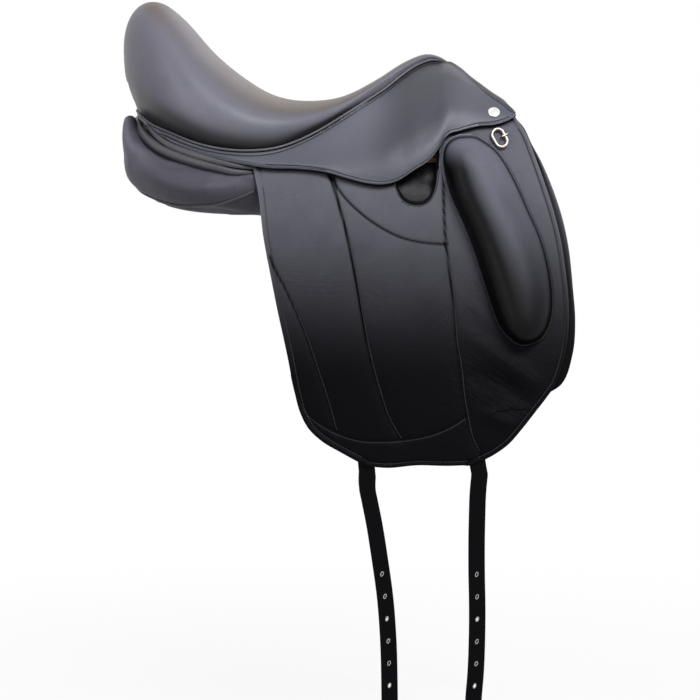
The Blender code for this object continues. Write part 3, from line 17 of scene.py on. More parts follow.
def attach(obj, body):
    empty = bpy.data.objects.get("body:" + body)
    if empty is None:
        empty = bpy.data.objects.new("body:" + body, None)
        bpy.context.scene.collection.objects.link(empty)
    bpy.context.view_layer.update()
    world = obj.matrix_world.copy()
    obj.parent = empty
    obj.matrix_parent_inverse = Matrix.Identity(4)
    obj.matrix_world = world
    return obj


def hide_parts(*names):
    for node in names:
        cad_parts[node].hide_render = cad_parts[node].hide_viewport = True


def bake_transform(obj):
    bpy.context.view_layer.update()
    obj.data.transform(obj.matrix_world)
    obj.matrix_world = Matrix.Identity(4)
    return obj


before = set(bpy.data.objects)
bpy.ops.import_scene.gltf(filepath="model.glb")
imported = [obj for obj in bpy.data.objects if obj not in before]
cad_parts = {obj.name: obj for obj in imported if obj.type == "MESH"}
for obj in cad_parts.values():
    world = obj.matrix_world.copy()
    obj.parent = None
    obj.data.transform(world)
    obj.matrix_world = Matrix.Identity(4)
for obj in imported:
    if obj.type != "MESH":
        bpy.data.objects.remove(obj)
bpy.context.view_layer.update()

RIGHT, LEFT = -1, 1
SIDES = (("right", RIGHT), ("left", LEFT))
UP, OUTWARDS = (0, 0, 1), (0, 1, 0)
FORWARD, REARWARD = (1, 0, 0), (-1, 0, 0)

# Leathers and gaps
FLAP_LEATHER = 0.0045
SKIRT_LEATHER = 0.0032
SWEAT_LEATHER = 0.0030
STRAP_LEATHER = 0.0034
FACING_LEATHER = 0.0025
COVER_LEATHER = 0.0016
LAYER_GAP = 0.0006
SKIRT_PROUD = 0.009
SKIRT_LEAST_DROP = 0.0028
SKIRT_DRAPING = 500
EDGE_BULGE = 0.38

# Fittings
STRAP_WIDTH = 0.020
STRAP_END_Z = -0.673
STRAP_HINGE_Z = -0.3275
STRAP_TIP = 0.022
STRAP_HOLES = 8
STRAP_HOLE_RADIUS = 0.0022
STRAP_HOLE_PITCH = 0.0275
STRAP_FIRST_HOLE = 0.032
HOLE_RIM_RADIUS = 0.0006
WELT_RADIUS = 0.0016
WELT_FRONT_X, WELT_END_X = 0.1040, 0.1175
PIPING_RADIUS = 0.0016
POMMEL_BINDING_RADIUS = 0.0026
BLOCK_HEIGHT = 0.042
BLOCK_LENGTH = 0.262
BLOCK_FLANGE = 0.002
BLOCK_MARGIN = 0.0036
BLOCK_STITCH_INSET = 0.0019
STUD_X, STUD_Z = 0.1786, 0.1105
STUD_RADIUS = 0.0078
STITCH_PITCH = 0.0034
STITCH_LENGTH = 0.0029
STITCH_RADIUS = 0.00055
STITCH_SLANT = 0.35
STITCH_RISE = 0.0001
RING_LENGTH = 0.0275
RING_WIDTH = 0.0185
RING_WIRE = 0.0021
RING_X, RING_Z = 0.1855, 0.0795
RING_LEAN = math.radians(30)
RING_STAND_OFF = 0.0048
STAPLE_WIRE = 0.0012

# Sewn rows on the skirt: how far in from its edges they run, and how wide the groove is
SKIRT_HEM = 0.0042
SKIRT_TOP_ROW = 0.0048
SKIRT_GROOVE = 0.0012
# from x, to x, steps, the distance below the top edge or, under 0, above the lower edge, and how far
# down the skirt a row may come, as a share of it
SKIRT_ROWS = (
    (-0.240, 0.098, 160, SKIRT_TOP_ROW, 1.0),
    (0.100, 0.200, 70, 0.0085, 0.45),
    (-0.100, 0.196, 170, -SKIRT_HEM, 1.0),
)
# How far the leather's bend reaches on each side of its fold
SKIRT_BEND, FLAP_BEND, STRAP_BEND = 0.0055, 0.030, 0.016
CUT_REACH = 0.30
# How many faces run round the edge of a sheet of leather
RIM_STEPS = 4
FOAM_MESH, PANEL_MESH = 0.0050, 0.0042

# The linen bands over the tree: each one's y from its right edge to its left, and their thickness
WEBBING_BANDS = ((-0.0445, -0.0158), (-0.0143, 0.0143), (0.0158, 0.0445))
WEBBING_REAR_X, WEBBING_FRONT_X = -0.236, 0.092
WEBBING_LIFT = 0.0042
WEBBING_THICKNESS = 0.0019

# A painted warm reflection, laid on leather that faces up
PAINTED_WARM_SHEEN = (0.112, 0.084, 0.062)

# The camera, which is matched to the photo, and the studio
CAMERA_DISTANCE = 3.2
CAMERA_SENSOR = 36.0
VIEW_WIDTH = 0.903
CAMERA_TARGET = (-0.0022, 0.0, -0.1935)
CAMERA_AZIMUTH = 1.5
CAMERA_ELEVATION = 5.0
FLOOR_Z = -0.690
FLOOR_REACH = 9.0
ROOM_LOW = (0.030, 0.030, 0.034)
ROOM_HIGH = (0.34, 0.35, 0.38)
ROOM_BEHIND = (0.26, 0.23, 0.19)
WHITE = (1.0, 1.0, 1.0)
# name, place, aimed at, size, power and colour
LAMPS = (
    ("key_softbox", (0.95, -1.95, 1.75), (0.0, 0.0, 0.0), (1.2, 0.9), 62.0, (0.97, 0.98, 1.0)),
    ("side_softbox", (-1.7, -1.9, 0.75), (-0.1, 0.0, 0.1), (1.0, 1.0), 16.0, (0.95, 0.96, 1.0)),
    ("top_softbox", (-0.3, 0.1, 1.9), (-0.1, 0.0, 0.1), (1.4, 0.7), 1.3, (1.0, 0.88, 0.74)),
    ("back_softbox", (0.6, 2.2, 1.3), (0.0, 0.0, 0.0), (1.4, 1.0), 3.0, (1.0, 0.88, 0.74)),
)


class Curve:
    """A smooth curve through rows (s, a, b, ...). Calling it at s, one value or many, gives a, b, ..."""

    def __init__(self, rows):
        data = np.array(rows, float)
        self.s = data[:, 0]
        self.values = data[:, 1:]
        self.slopes = np.gradient(self.values, self.s, axis=0)

    def __call__(self, s):
        s = np.clip(np.asarray(s, float), self.s[0], self.s[-1])
        i = np.clip(np.searchsorted(self.s, s) - 1, 0, len(self.s) - 2)
        h = (self.s[i + 1] - self.s[i])[..., None]
        t = (s - self.s[i])[..., None] / h
        found = (
            (2 * t**3 - 3 * t**2 + 1) * self.values[i]
            + (t**3 - 2 * t**2 + t) * h * self.slopes[i]
            + (3 * t**2 - 2 * t**3) * self.values[i + 1]
            + (t**3 - t**2) * h * self.slopes[i + 1]
        )
        return found[..., 0] if found.shape[-1] == 1 else found


def path(points):
    """A smooth curve through points, run from 0 to 1 by length."""
    points = np.array(points, float)
    steps = np.linalg.norm(np.diff(points, axis=0), axis=1)
    along = np.concatenate([[0], np.cumsum(steps)]) / steps.sum()
    return Curve(np.column_stack([along, points]))


def from_rear(rows):
    """A curve of the seat, run by the square root of the distance from its round rear end."""
    rows = np.array(rows, float)
    return Curve(np.column_stack([np.sqrt(rows[:, 0] - SEAT_REAR_X), rows[:, 1:]]))


# The seat: x, then the height on the middle plane
SEAT_REAR_X, SEAT_FRONT_X = -0.2905, 0.1330
SEAT_TOP = from_rear((
    (-0.2905, 0.191), (-0.2883, 0.2125), (-0.2818, 0.2314), (-0.2702, 0.2459), (-0.2536, 0.2521),
    (-0.2383, 0.2490), (-0.2130, 0.2289), (-0.1749, 0.1860), (-0.1418, 0.1585), (-0.0991, 0.1335),
    (-0.0512, 0.1262), (-0.0051, 0.1338), (0.0339, 0.1541), (0.0728, 0.1780), (0.0970, 0.1855),
    (0.1098, 0.1830), (0.1200, 0.1775), (0.1290, 0.1690), (0.1330, 0.1590),
))
# x, half width and height at the widest point of the seat's roll
SEAT_ROLL = from_rear((
    (-0.2905, 0.000, 0.191), (-0.2883, 0.030, 0.186), (-0.2800, 0.064, 0.174), (-0.2680, 0.090, 0.161),
    (-0.2550, 0.110, 0.149), (-0.2300, 0.137, 0.129), (-0.2000, 0.153, 0.112), (-0.1700, 0.160, 0.099),
    (-0.1300, 0.160, 0.090), (-0.0900, 0.150, 0.089), (-0.0500, 0.130, 0.096), (-0.0200, 0.108, 0.109),
    (0.0100, 0.087, 0.128), (0.0400, 0.068, 0.149), (0.0700, 0.052, 0.169), (0.0970, 0.036, 0.1815),
    (0.1110, 0.028, 0.1805), (0.1230, 0.0245, 0.1730), (0.1330, 0.000, 0.1580),
))
# x, half width and height of the seam that joins the seat to the skirts
SEAT_SEAM = Curve((
    (-0.2745, 0.000, 0.1168), (-0.2738, 0.012, 0.1160), (-0.2700, 0.034, 0.1130),
    (-0.2565, 0.070, 0.1033), (-0.2205, 0.120, 0.0878), (-0.1760, 0.145, 0.0720),
    (-0.1270, 0.151, 0.0659), (-0.0830, 0.141, 0.0707), (-0.0424, 0.117, 0.0878),
    (-0.0060, 0.092, 0.1100), (0.0200, 0.077, 0.1270), (0.0450, 0.062, 0.1437), (0.0650, 0.0505, 0.1600),
    (0.0800, 0.042, 0.1705), (0.0940, 0.0335, 0.1770), (0.1050, 0.0265, 0.1792), (0.1180, 0.023, 0.1720),
    (0.1330, 0.000, 0.1560),
))
SEAT_BACK = Curve((
    (-0.2905, 0.1900), (-0.2898, 0.1680), (-0.2865, 0.1500), (-0.2820, 0.1340), (-0.2745, 0.1168),
))
SEAT_POWER = 2.5
SEAT_TUCK = math.radians(68)

# The tree's top: x, height on the middle plane, half width and height of its edge
TREE = Curve((
    (-0.2620, 0.190, 0.030, 0.184), (-0.2500, 0.186, 0.062, 0.166), (-0.2150, 0.161, 0.108, 0.118),
    (-0.1800, 0.136, 0.128, 0.096), (-0.1300, 0.108, 0.134, 0.084), (-0.0800, 0.094, 0.126, 0.080),
    (-0.0300, 0.093, 0.116, 0.074), (0.0200, 0.106, 0.112, 0.062), (0.0700, 0.134, 0.113, 0.052),
    (0.1000, 0.146, 0.110, 0.050), (0.1300, 0.148, 0.098, 0.060), (0.1600, 0.138, 0.080, 0.088),
))
TREE_CROWN_POWER = 2.2

# The skirt's lower edge: x, z, and its half width where it lies behind the flap: x, w
SKIRT_LOW = Curve((
    (-0.2745, 0.1095), (-0.2700, 0.1072), (-0.2560, 0.0985), (-0.2422, 0.0878), (-0.2217, 0.0760),
    (-0.1920, 0.0650), (-0.1633, 0.0568), (-0.1232, 0.0478), (-0.0976, 0.0440), (-0.0611, 0.0428),
    (-0.0244, 0.0379), (0.0000, 0.0305), (0.0245, 0.0244), (0.0428, 0.0232), (0.0613, 0.0280),
    (0.0798, 0.0401), (0.0983, 0.0523), (0.1083, 0.0640), (0.1196, 0.0820), (0.1358, 0.0885),
    (0.1608, 0.0950), (0.1796, 0.0968), (0.1986, 0.1035), (0.2060, 0.1080),
))
SKIRT_LOW_REAR = Curve((
    (-0.2745, 0.000), (-0.2700, 0.036), (-0.2560, 0.072), (-0.2422, 0.097), (-0.2217, 0.124),
    (-0.1920, 0.147), (-0.1633, 0.159), (-0.1232, 0.1655),
))
SKIRT_SWELL = Curve((
    (-0.2745, 0.00), (-0.2560, 0.00), (-0.1500, 0.05), (-0.0700, 0.25), (-0.0200, 0.45), (0.0200, 0.75),
    (0.0600, 0.95), (0.1000, 1.00), (0.1600, 0.45), (0.2060, 0.05),
))
SKIRT_REAR_X, SKIRT_FRONT_X = -0.2744, 0.2052
# The pommel's front edge, which the skirts end on: x, w, z
POMMEL_EDGE = Curve((
    (0.1060, 0.0258, 0.1792), (0.1140, 0.024, 0.1788), (0.1230, 0.0265, 0.1762), (0.1377, 0.037, 0.1670),
    (0.1485, 0.049, 0.1572), (0.1630, 0.061, 0.1460), (0.1761, 0.073, 0.1360), (0.1904, 0.085, 0.1262),
    (0.2010, 0.095, 0.1165), (0.2060, 0.100, 0.1110),
))
POMMEL_START_X = 0.1060
FACING_INNER = path((
    (0.1360, 0.000, 0.1400), (0.1400, 0.018, 0.1370), (0.1480, 0.034, 0.1280), (0.1580, 0.046, 0.1160),
    (0.1700, 0.057, 0.1020), (0.1800, 0.065, 0.0900), (0.1860, 0.072, 0.0830),
))
FACING_END_X = 0.1900
SKIRT_FOLD = ((-0.0700, 0.0500), (0.1120, 0.0810))

# The flap's outer surface: x, half width at FLAP_TOP_Z. It leans out to FLAP_FOOT_W
FLAP_TOP = Curve((
    (-0.1400, 0.152), (-0.0500, 0.145), (0.0500, 0.134), (0.1200, 0.125), (0.2000, 0.112), (0.2800, 0.104),
))
FLAP_TOP_Z = 0.060
FLAP_FOOT_W = 0.212
FLAP_LEAN_HEIGHT = 0.380
FLAP_ROUND = 0.35
FLAP_TOP_EDGE = path((
    (-0.1185, 0.0500), (-0.0600, 0.0490), (0.0000, 0.0420), (0.0500, 0.0400), (0.0900, 0.0580),
    (0.1250, 0.0920), (0.1500, 0.1010), (0.1800, 0.1060), (0.2030, 0.1090),
))
FLAP_REAR_EDGE = path((
    (-0.1185, 0.0500), (-0.1109, 0.0150), (-0.1034, -0.0431), (-0.0972, -0.0744), (-0.0874, -0.1226),
    (-0.0739, -0.1826), (-0.0640, -0.2300), (-0.0581, -0.2510), (-0.0472, -0.2715), (-0.0302, -0.2870),
    (-0.0085, -0.2995), (0.0060, -0.3074), (0.0242, -0.3165),
))
FLAP_FOOT_EDGE = path((
    (0.0242, -0.3165), (0.0484, -0.3182), (0.0847, -0.3150), (0.1209, -0.3156), (0.1476, -0.3146),
))
FLAP_FRONT_EDGE = path((
    (0.2030, 0.1090), (0.2182, 0.0854), (0.2308, 0.0533), (0.2430, 0.0178), (0.2528, -0.0139),
    (0.2607, -0.0479), (0.2653, -0.0805), (0.2687, -0.1142), (0.2687, -0.1514), (0.2627, -0.1896),
    (0.2525, -0.2182), (0.2427, -0.2320), (0.2291, -0.2492), (0.2120, -0.2706), (0.1949, -0.2896),
    (0.1694, -0.3063), (0.1476, -0.3146),
))
FLAP_RECESS = (
    (0.0500, 0.0700), (0.0540, 0.0330), (0.0585, 0.0140), (0.0660, 0.0020), (0.0750, -0.0030),
    (0.0830, -0.0040), (0.0920, -0.0030), (0.1000, 0.0030), (0.1060, 0.0150), (0.1100, 0.0400),
    (0.1120, 0.1000),
)
SWEAT_RECESS = (
    (0.0480, 0.0700), (0.0560, 0.0360), (0.0610, 0.0180), (0.0680, 0.0070), (0.0760, 0.0025),
    (0.0830, 0.0015), (0.0910, 0.0025), (0.0980, 0.0080), (0.1035, 0.0190), (0.1070, 0.0420),
    (0.1090, 0.1000),
)
FLAP_FOLD = ((-0.1160, 0.0150), (0.2300, -0.2490))
SWEAT_DEPTH = 0.0091
# The flap's edges, each with the width of its stitched border, the side of the line on which that
# lies, and the shares of the line at which its stitches start and end
FLAP_BORDERS = (
    (FLAP_REAR_EDGE, 0.0070, 1, 0.08, 0.97),
    (FLAP_FOOT_EDGE, 0.0048, 1, 0.03, 0.97),
    (FLAP_FRONT_EDGE, 0.0054, -1, 0.04, 0.97),
)

# The flap's sewn seams, each as x, z from its top
SEAM_LONG = path((
    (-0.0220, 0.0330), (-0.0110, -0.0034), (0.0000, -0.0445), (0.0085, -0.0867), (0.0182, -0.1421),
    (0.0267, -0.1829), (0.0388, -0.2272), (0.0502, -0.2596), (0.0653, -0.2850),
))
SEAM_ARC = path((
    (-0.0196, 0.0318), (-0.0110, 0.0160), (0.0110, -0.0083), (0.0391, -0.0289), (0.0671, -0.0423),
    (0.0904, -0.0475), (0.1200, -0.0498),
))
SEAM_FRONT = path((
    (0.1165, 0.0400), (0.1165, 0.0072), (0.1195, -0.0510), (0.1244, -0.0872), (0.1290, -0.1281),
    (0.1325, -0.1701), (0.1372, -0.1976), (0.1406, -0.2299), (0.1449, -0.2550), (0.1501, -0.2794),
    (0.1627, -0.3063),
))
SEAM_REAR = path((
    (-0.0955, -0.0640), (-0.0924, -0.0720), (-0.0777, -0.0997), (-0.0607, -0.1358), (-0.0473, -0.1695),
    (-0.0363, -0.2019), (-0.0248, -0.2355), (-0.0133, -0.2763),
))
SEAM_FOOT = path((
    (-0.0666, -0.2078), (-0.0605, -0.2294), (-0.0472, -0.2546), (-0.0303, -0.2679), (-0.0109, -0.2775),
    (0.0169, -0.2855), (0.0448, -0.2865), (0.0781, -0.2835), (0.1114, -0.2752), (0.1308, -0.2657),
    (0.1449, -0.2562),
))
# Each seam, how deep it is drawn in, how full the leather beside it is, and its stitches: how far
# beside it they run, and the shares of it at which they start and end
FLAP_SEAMS = (
    (SEAM_LONG, 1.0, 1.0, 0.0016, 0.02, 0.99),
    (SEAM_ARC, 0.8, 0.55, 0.0014, 0.30, 0.97),
    (SEAM_FRONT, 0.9, 0.8, 0.0014, 0.02, 0.97),
    (SEAM_REAR, 0.8, 0.9, 0.0014, 0.02, 0.98),
    (SEAM_FOOT, 0.5, 0.2, -0.0012, 0.05, 0.98),
)
# Where a girth strap shows through the flap: its line, how high it stands, how far from the line it
# is flat and gone, and the shares of the line by which it has risen and begins to fade
STRAP_SHAPES = (
    (((0.0905, -0.030), (0.0925, -0.090), (0.0960, -0.150)), 0.0012, 0.007, 0.019, 0.35, 0.5),
    (((0.0000, -0.055), (0.0160, -0.250)), 0.0005, 0.007, 0.021, 0.3, 0.6),
)
# Soft folds in front of the front seam, towards the lower front corner: line, height and reach
FLAP_FOLDS = (
    (((0.1320, -0.1500), (0.1900, -0.1900), (0.2350, -0.2250)), 0.0042, 0.012),
    (((0.1450, -0.2010), (0.1900, -0.2200), (0.2250, -0.2450)), -0.0048, 0.011),
    (((0.1400, -0.1150), (0.1650, -0.1350), (0.1820, -0.1580)), 0.0028, 0.008),
    (((0.1600, -0.2500), (0.1950, -0.2640), (0.2100, -0.2680)), 0.0024, 0.009),
)
# Creased places: centre x and z, reach along and across, direction in degrees, and strength
FLAP_CREASES = (
    (-0.045, -0.096, 0.052, 0.015, -4.0, 1.0),
    (0.036, -0.104, 0.030, 0.020, -24.0, 0.9),
    (-0.060, 0.002, 0.040, 0.014, 8.0, 0.35),
    (0.150, -0.110, 0.032, 0.050, -38.0, 0.8),
    (0.175, -0.215, 0.055, 0.034, -33.0, 0.9),
    (0.205, -0.262, 0.040, 0.024, -30.0, 0.6),
    (0.105, -0.075, 0.020, 0.030, -42.0, 0.45),
)
SWEAT_FRONT_EDGE = path((
    (0.2060, 0.1040), (0.2159, 0.0930), (0.2259, 0.0720), (0.2363, 0.0528), (0.2476, 0.0271),
    (0.2563, 0.0033), (0.2632, -0.0198), (0.2689, -0.0465), (0.2750, -0.1041), (0.2774, -0.1426),
    (0.2737, -0.1837), (0.2595, -0.2194), (0.2380, -0.2330), (0.2080, -0.2600), (0.1850, -0.2820),
    (0.1440, -0.2980),
))
SWEAT_REAR_EDGE = path((
    (-0.1080, 0.0460), (-0.1010, 0.0150), (-0.0934, -0.0431), (-0.0774, -0.1226), (-0.0639, -0.1826),
    (-0.0510, -0.2330), (-0.0330, -0.2640), (0.0000, -0.2860), (0.0260, -0.2980),
))
SWEAT_FOOT_EDGE = path(((0.0260, -0.2980), (0.0800, -0.3000), (0.1440, -0.2980)))
SWEAT_TOP_EDGE = path((
    (-0.1080, 0.0460), (-0.0400, 0.0500), (0.0200, 0.0420), (0.0700, 0.0440), (0.1000, 0.0600),
    (0.1300, 0.0800), (0.1600, 0.0920), (0.2060, 0.1040),
))

# The knee block's seam, from its top to its foot along the rear and along the front: x, z
BLOCK_REAR = path((
    (0.1460, 0.0845), (0.1340, 0.0835), (0.1233, 0.0790), (0.1150, 0.0690), (0.1125, 0.0535),
    (0.1146, 0.0364), (0.1227, 0.0072), (0.1360, -0.0220), (0.1504, -0.0572), (0.1624, -0.0934),
    (0.1731, -0.1259), (0.1820, -0.1487), (0.1935, -0.1631), (0.2056, -0.1716), (0.2145, -0.1730),
))
BLOCK_FRONT = path((
    (0.1460, 0.0845), (0.1538, 0.0841), (0.1687, 0.0767), (0.1836, 0.0651), (0.1963, 0.0472),
    (0.2107, 0.0197), (0.2226, -0.0078), (0.2357, -0.0369), (0.2450, -0.0684), (0.2502, -0.0997),
    (0.2507, -0.1286), (0.2462, -0.1489), (0.2374, -0.1633), (0.2227, -0.1716), (0.2145, -0.1730),
))
BLOCK_RIDGE = 0.42
BLOCK_WALL = 0.030

# The rolled strips round the cantle, from beside the flap to the middle plane: x, w, z
ROLL_UPPER = path((
    (-0.1165, 0.1535, 0.0428), (-0.1390, 0.1585, 0.0462), (-0.1633, 0.1560, 0.0518),
    (-0.1920, 0.1460, 0.0596), (-0.2217, 0.1220, 0.0706), (-0.2410, 0.0940, 0.0830),
    (-0.2520, 0.0660, 0.0938), (-0.2590, 0.0320, 0.1010), (-0.2600, 0.0000, 0.1030),
))
ROLL_LOWER = path((
    (-0.1170, 0.1500, 0.0374), (-0.1400, 0.1560, 0.0386), (-0.1594, 0.1550, 0.0430),
    (-0.1840, 0.1490, 0.0492), (-0.2091, 0.1360, 0.0562), (-0.2320, 0.1150, 0.0648),
    (-0.2520, 0.0880, 0.0778), (-0.2650, 0.0580, 0.0910), (-0.2705, 0.0280, 0.1000),
    (-0.2720, 0.0000, 0.1025),
))
# Name, line and radius of each
CANTLE_ROLLS = (("cantle_roll_upper", ROLL_UPPER, 0.0044), ("cantle_roll_lower", ROLL_LOWER, 0.0056))
GUSSET_TOP, GUSSET_FOOT = (0.0, -0.0090, 0.0100), (0.0, -0.0090, -0.0110)
# How much the stuffing fills the panels out, and how far it lifts their rear horns
PANEL_FULL = 0.0060
PANEL_HORN = 0.0060
PANEL_SEAM = path((
    (-0.2700, 0.084, 0.030), (-0.2450, 0.112, 0.012), (-0.2150, 0.135, -0.001), (-0.1841, 0.150, -0.0048),
    (-0.1636, 0.155, -0.0040), (-0.1427, 0.158, 0.0015), (-0.1269, 0.157, 0.0076), (-0.1135, 0.155, 0.0142),
))

# Girth straps: x and z where each one's hidden part starts and ends, and the line that it hangs
# along on either side as z, x
STRAPS = {
    "front": {
        "top": (0.0985, -0.0080), "foot": (0.1600, -0.3255),
        "right": (
            (-0.3275, 0.1600), (-0.3450, 0.1584), (-0.3817, 0.1572), (-0.4544, 0.1572), (-0.4786, 0.1578),
            (-0.5271, 0.1578), (-0.5756, 0.1560), (-0.5938, 0.1545), (-0.6730, 0.1515),
        ),
        "left": (
            (-0.3275, 0.1600), (-0.3500, 0.1660), (-0.3742, 0.1704), (-0.4042, 0.1690), (-0.4460, 0.1676),
            (-0.5287, 0.1676), (-0.5563, 0.1683), (-0.6115, 0.1683), (-0.6730, 0.1661),
        ),
    },
    "rear": {
        "top": (-0.0040, 0.0000), "foot": (0.0240, -0.3255),
        "right": (
            (-0.3275, 0.0245), (-0.3450, 0.0243), (-0.3574, 0.0267), (-0.3817, 0.0316), (-0.4301, 0.0394),
            (-0.4786, 0.0460), (-0.5271, 0.0497), (-0.5938, 0.0515), (-0.6730, 0.0515),
        ),
        "left": (
            (-0.3275, 0.0245), (-0.3500, 0.0195), (-0.3742, 0.0150), (-0.3990, 0.0145), (-0.4183, 0.0183),
            (-0.4460, 0.0245), (-0.5010, 0.0336), (-0.5563, 0.0411), (-0.6115, 0.0454), (-0.6730, 0.0469),
        ),
    },
}


# Shapes, as arrays of points (x, w, z)

def placed(points, side):
    """Points (x, w, z) as world points on that side."""
    return np.array(points, float) * np.array([1.0, side, 1.0])


def across_middle(half):
    """A line or grid from the right side to the left one, from its half that starts at the middle."""
    return np.concatenate([placed(half[::-1], RIGHT), placed(half[1:], LEFT)])


def unit(vectors):
    return vectors / np.maximum(np.linalg.norm(vectors, axis=-1, keepdims=True), 1e-12)


def stack(x, w, z):
    return np.stack(np.broadcast_arrays(x, w, z), axis=-1).astype(float)


def smoothed(grid, times, across=True):
    """A grid of points with small ripples evened out along its columns and, with across, its rows."""
    grid = grid.copy()
    for _ in range(times):
        grid[1:-1] = (grid[:-2] + 2 * grid[1:-1] + grid[2:]) / 4
        if across:
            grid[:, 1:-1] = (grid[:, :-2] + 2 * grid[:, 1:-1] + grid[:, 2:]) / 4
    return grid


def grid_normals(grid, facing=None):
    """A grid's normals. With facing, they are on the side of the grid that looks roughly that way."""
    found = unit(np.cross(np.gradient(grid, axis=0), np.gradient(grid, axis=1)))
    if facing is not None:
        found *= np.sign(np.mean(found @ np.array(facing, float)))
    return found


def off_line(points, line, samples=120):
    """Each point's distance to a line and how far along the line, 0 to 1, its nearest place is."""
    knots = line(np.linspace(0, 1, samples)) if callable(line) else np.array(line, float)
    start, step = knots[:-1], np.diff(knots, axis=0)
    flat = points.reshape(-1, points.shape[-1])
    best = np.full(len(flat), 1e9)
    where = np.zeros(len(flat))
    for i, (a, d) in enumerate(zip(start, step)):
        t = np.clip(((flat - a) @ d) / max(d @ d, 1e-18), 0, 1)
        found = np.linalg.norm(flat - a - t[:, None] * d, axis=1)
        nearer = found < best
        best = np.where(nearer, found, best)
        where = np.where(nearer, (i + t) / len(step), where)
    shape = points.shape[:-1]
    return best.reshape(shape), where.reshape(shape)


def ease(value, low, high):
    """0 below low, 1 above high, and smooth between them."""
    t = np.clip((value - low) / (high - low), 0, 1)
    return t * t * (3 - 2 * t)


def bell(value, width):
    """1 where value is 0, falling off smoothly on both sides."""
    return np.exp(-(value / width) ** 2)


def tree_height(x, w):
    """The height of the tree's top."""
    middle, half_width, edge = np.moveaxis(TREE(x), -1, 0)
    return middle - (middle - edge) * np.minimum(np.abs(w) / half_width, 1.15) ** TREE_CROWN_POWER


def flap_half_width(x, z):
    """How far from the middle plane the flap's outer surface is: it leans outwards and is rounded."""
    drop = (FLAP_TOP_Z - z) / FLAP_LEAN_HEIGHT
    top = FLAP_TOP(x)
    return top + (FLAP_FOOT_W - top) * ((1 + FLAP_ROUND) * drop - FLAP_ROUND * drop * drop)


def on_flap(x, z, inwards=0.0):
    return stack(x, flap_half_width(x, z) - inwards, z)


def skirt_edges(x):
    """The skirt's top and lower edges at x, as (w, z), its swell, and the way down from the seam."""
    seam, pommel = SEAT_SEAM(x), POMMEL_EDGE(x)
    share = ease(x, POMMEL_START_X - 0.004, POMMEL_START_X + 0.004)[..., None]
    top = seam * (1 - share) + pommel * share
    low_z = np.minimum(SKIRT_LOW(x), top[..., 1] - SKIRT_LEAST_DROP)
    beside_flap = flap_half_width(x, low_z) + SKIRT_PROUD
    share = ease(x, -0.150, -0.120)
    low_w = (1 - share) * SKIRT_LOW_REAR(x) + share * beside_flap
    swell = SKIRT_SWELL(x)
    towards = np.stack([(low_w - top[..., 0]) * (1 + swell), low_z - top[..., 1]], axis=-1)
    towards = unit(unit(towards) + np.array([0.0, -1.0]))
    return top, np.stack([low_w, low_z], axis=-1), swell, towards


def on_skirt(x, share):
    """Points on the skirt's outer surface: share 0 is its top edge and 1 its lower edge."""
    x, share = np.broadcast_arrays(np.asarray(x, float), np.asarray(share, float))
    top, low, swell, towards = skirt_edges(x)
    past_welt = np.clip((x - WELT_FRONT_X - 0.004) / 0.014, 0, 1)[..., None]
    start = top + towards * 2 * (WELT_RADIUS + LAYER_GAP) * (1 - past_welt)
    w = start[..., 0] + (low[..., 0] - start[..., 0]) * (share + swell * share * (1 - share))
    z = start[..., 1] + (low[..., 1] - start[..., 1]) * share
    return stack(x, w, z)


def skirt_share(x, z):
    top, low = on_skirt(x, 0.0), on_skirt(x, 1.0)
    return (top[..., 2] - z) / (top[..., 2] - low[..., 2])


def seat_section(x, top_steps, under_steps):
    """Half of the seat's section at each x, from the crown down to the seam."""
    u = np.sqrt(np.maximum(x - SEAT_REAR_X, 0.0))
    top = SEAT_TOP(u)[:, None]
    roll_w, roll_z = (v[:, None] for v in np.moveaxis(SEAT_ROLL(u), -1, 0))
    seam_w, seam_z = (v[:, None] for v in np.moveaxis(SEAT_SEAM(x), -1, 0))
    behind = (x < SEAT_SEAM.s[0])[:, None]
    seam_w = np.where(behind, 0.0, seam_w)
    seam_z = np.where(behind, SEAT_BACK(x)[:, None], seam_z)
    forward = ease(x, -0.03, 0.05)[:, None]
    roll_w = roll_w + (np.minimum(roll_w, seam_w + 0.0025) - roll_w) * forward
    roll_z = roll_z + (np.minimum(roll_z, seam_z + 0.010) - roll_z) * forward
    angle = np.linspace(0, math.pi / 2, top_steps)[None]
    over_w = roll_w * np.sin(angle) ** (2 / SEAT_POWER)
    over_z = roll_z + (top - roll_z) * np.maximum(np.cos(angle), 0) ** (2 / SEAT_POWER)
    angle = np.linspace(0, 1, under_steps + 1)[None, 1:] * SEAT_TUCK
    out = (np.cos(angle) - math.cos(SEAT_TUCK)) / (1 - math.cos(SEAT_TUCK))
    under_w = np.maximum(seam_w + (roll_w - seam_w) * out, 0.0)
    under_z = roll_z + (seam_z - roll_z) * np.sin(angle) / math.sin(SEAT_TUCK)
    return np.concatenate([over_w, under_w], axis=1), np.concatenate([over_z, under_z], axis=1)


def coons(top, foot, rear, front, u, v):
    """Points (x, z) over the patch between four edges, at shares u along and v down."""
    u, v = np.asarray(u)[:, None, None], np.asarray(v)[None, :, None]
    across = (1 - v) * top(u[:, 0, 0])[:, None] + v * foot(u[:, 0, 0])[:, None]
    down = (1 - u) * rear(v[0, :, 0])[None] + u * front(v[0, :, 0])[None]
    rear_corners = (1 - v) * top(0.0) + v * foot(0.0)
    front_corners = (1 - v) * top(1.0) + v * foot(1.0)
    return across + down - (1 - u) * rear_corners - u * front_corners


def denser_ends(count, extra=(0.0012, 0.003, 0.006, 0.010)):
    """Shares from 0 to 1, evenly spaced but for a few more beside both ends."""
    inner = np.linspace(0, 1, count)
    inner = inner[(inner > extra[-1] * 1.3) & (inner < 1 - extra[-1] * 1.3)]
    return np.array([0.0, *extra, *inner, *(1 - e for e in extra[::-1]), 1.0])


# Meshes

def new_object(name, data):
    obj = bpy.data.objects.new(name, data)
    bpy.context.scene.collection.objects.link(obj)
    return obj


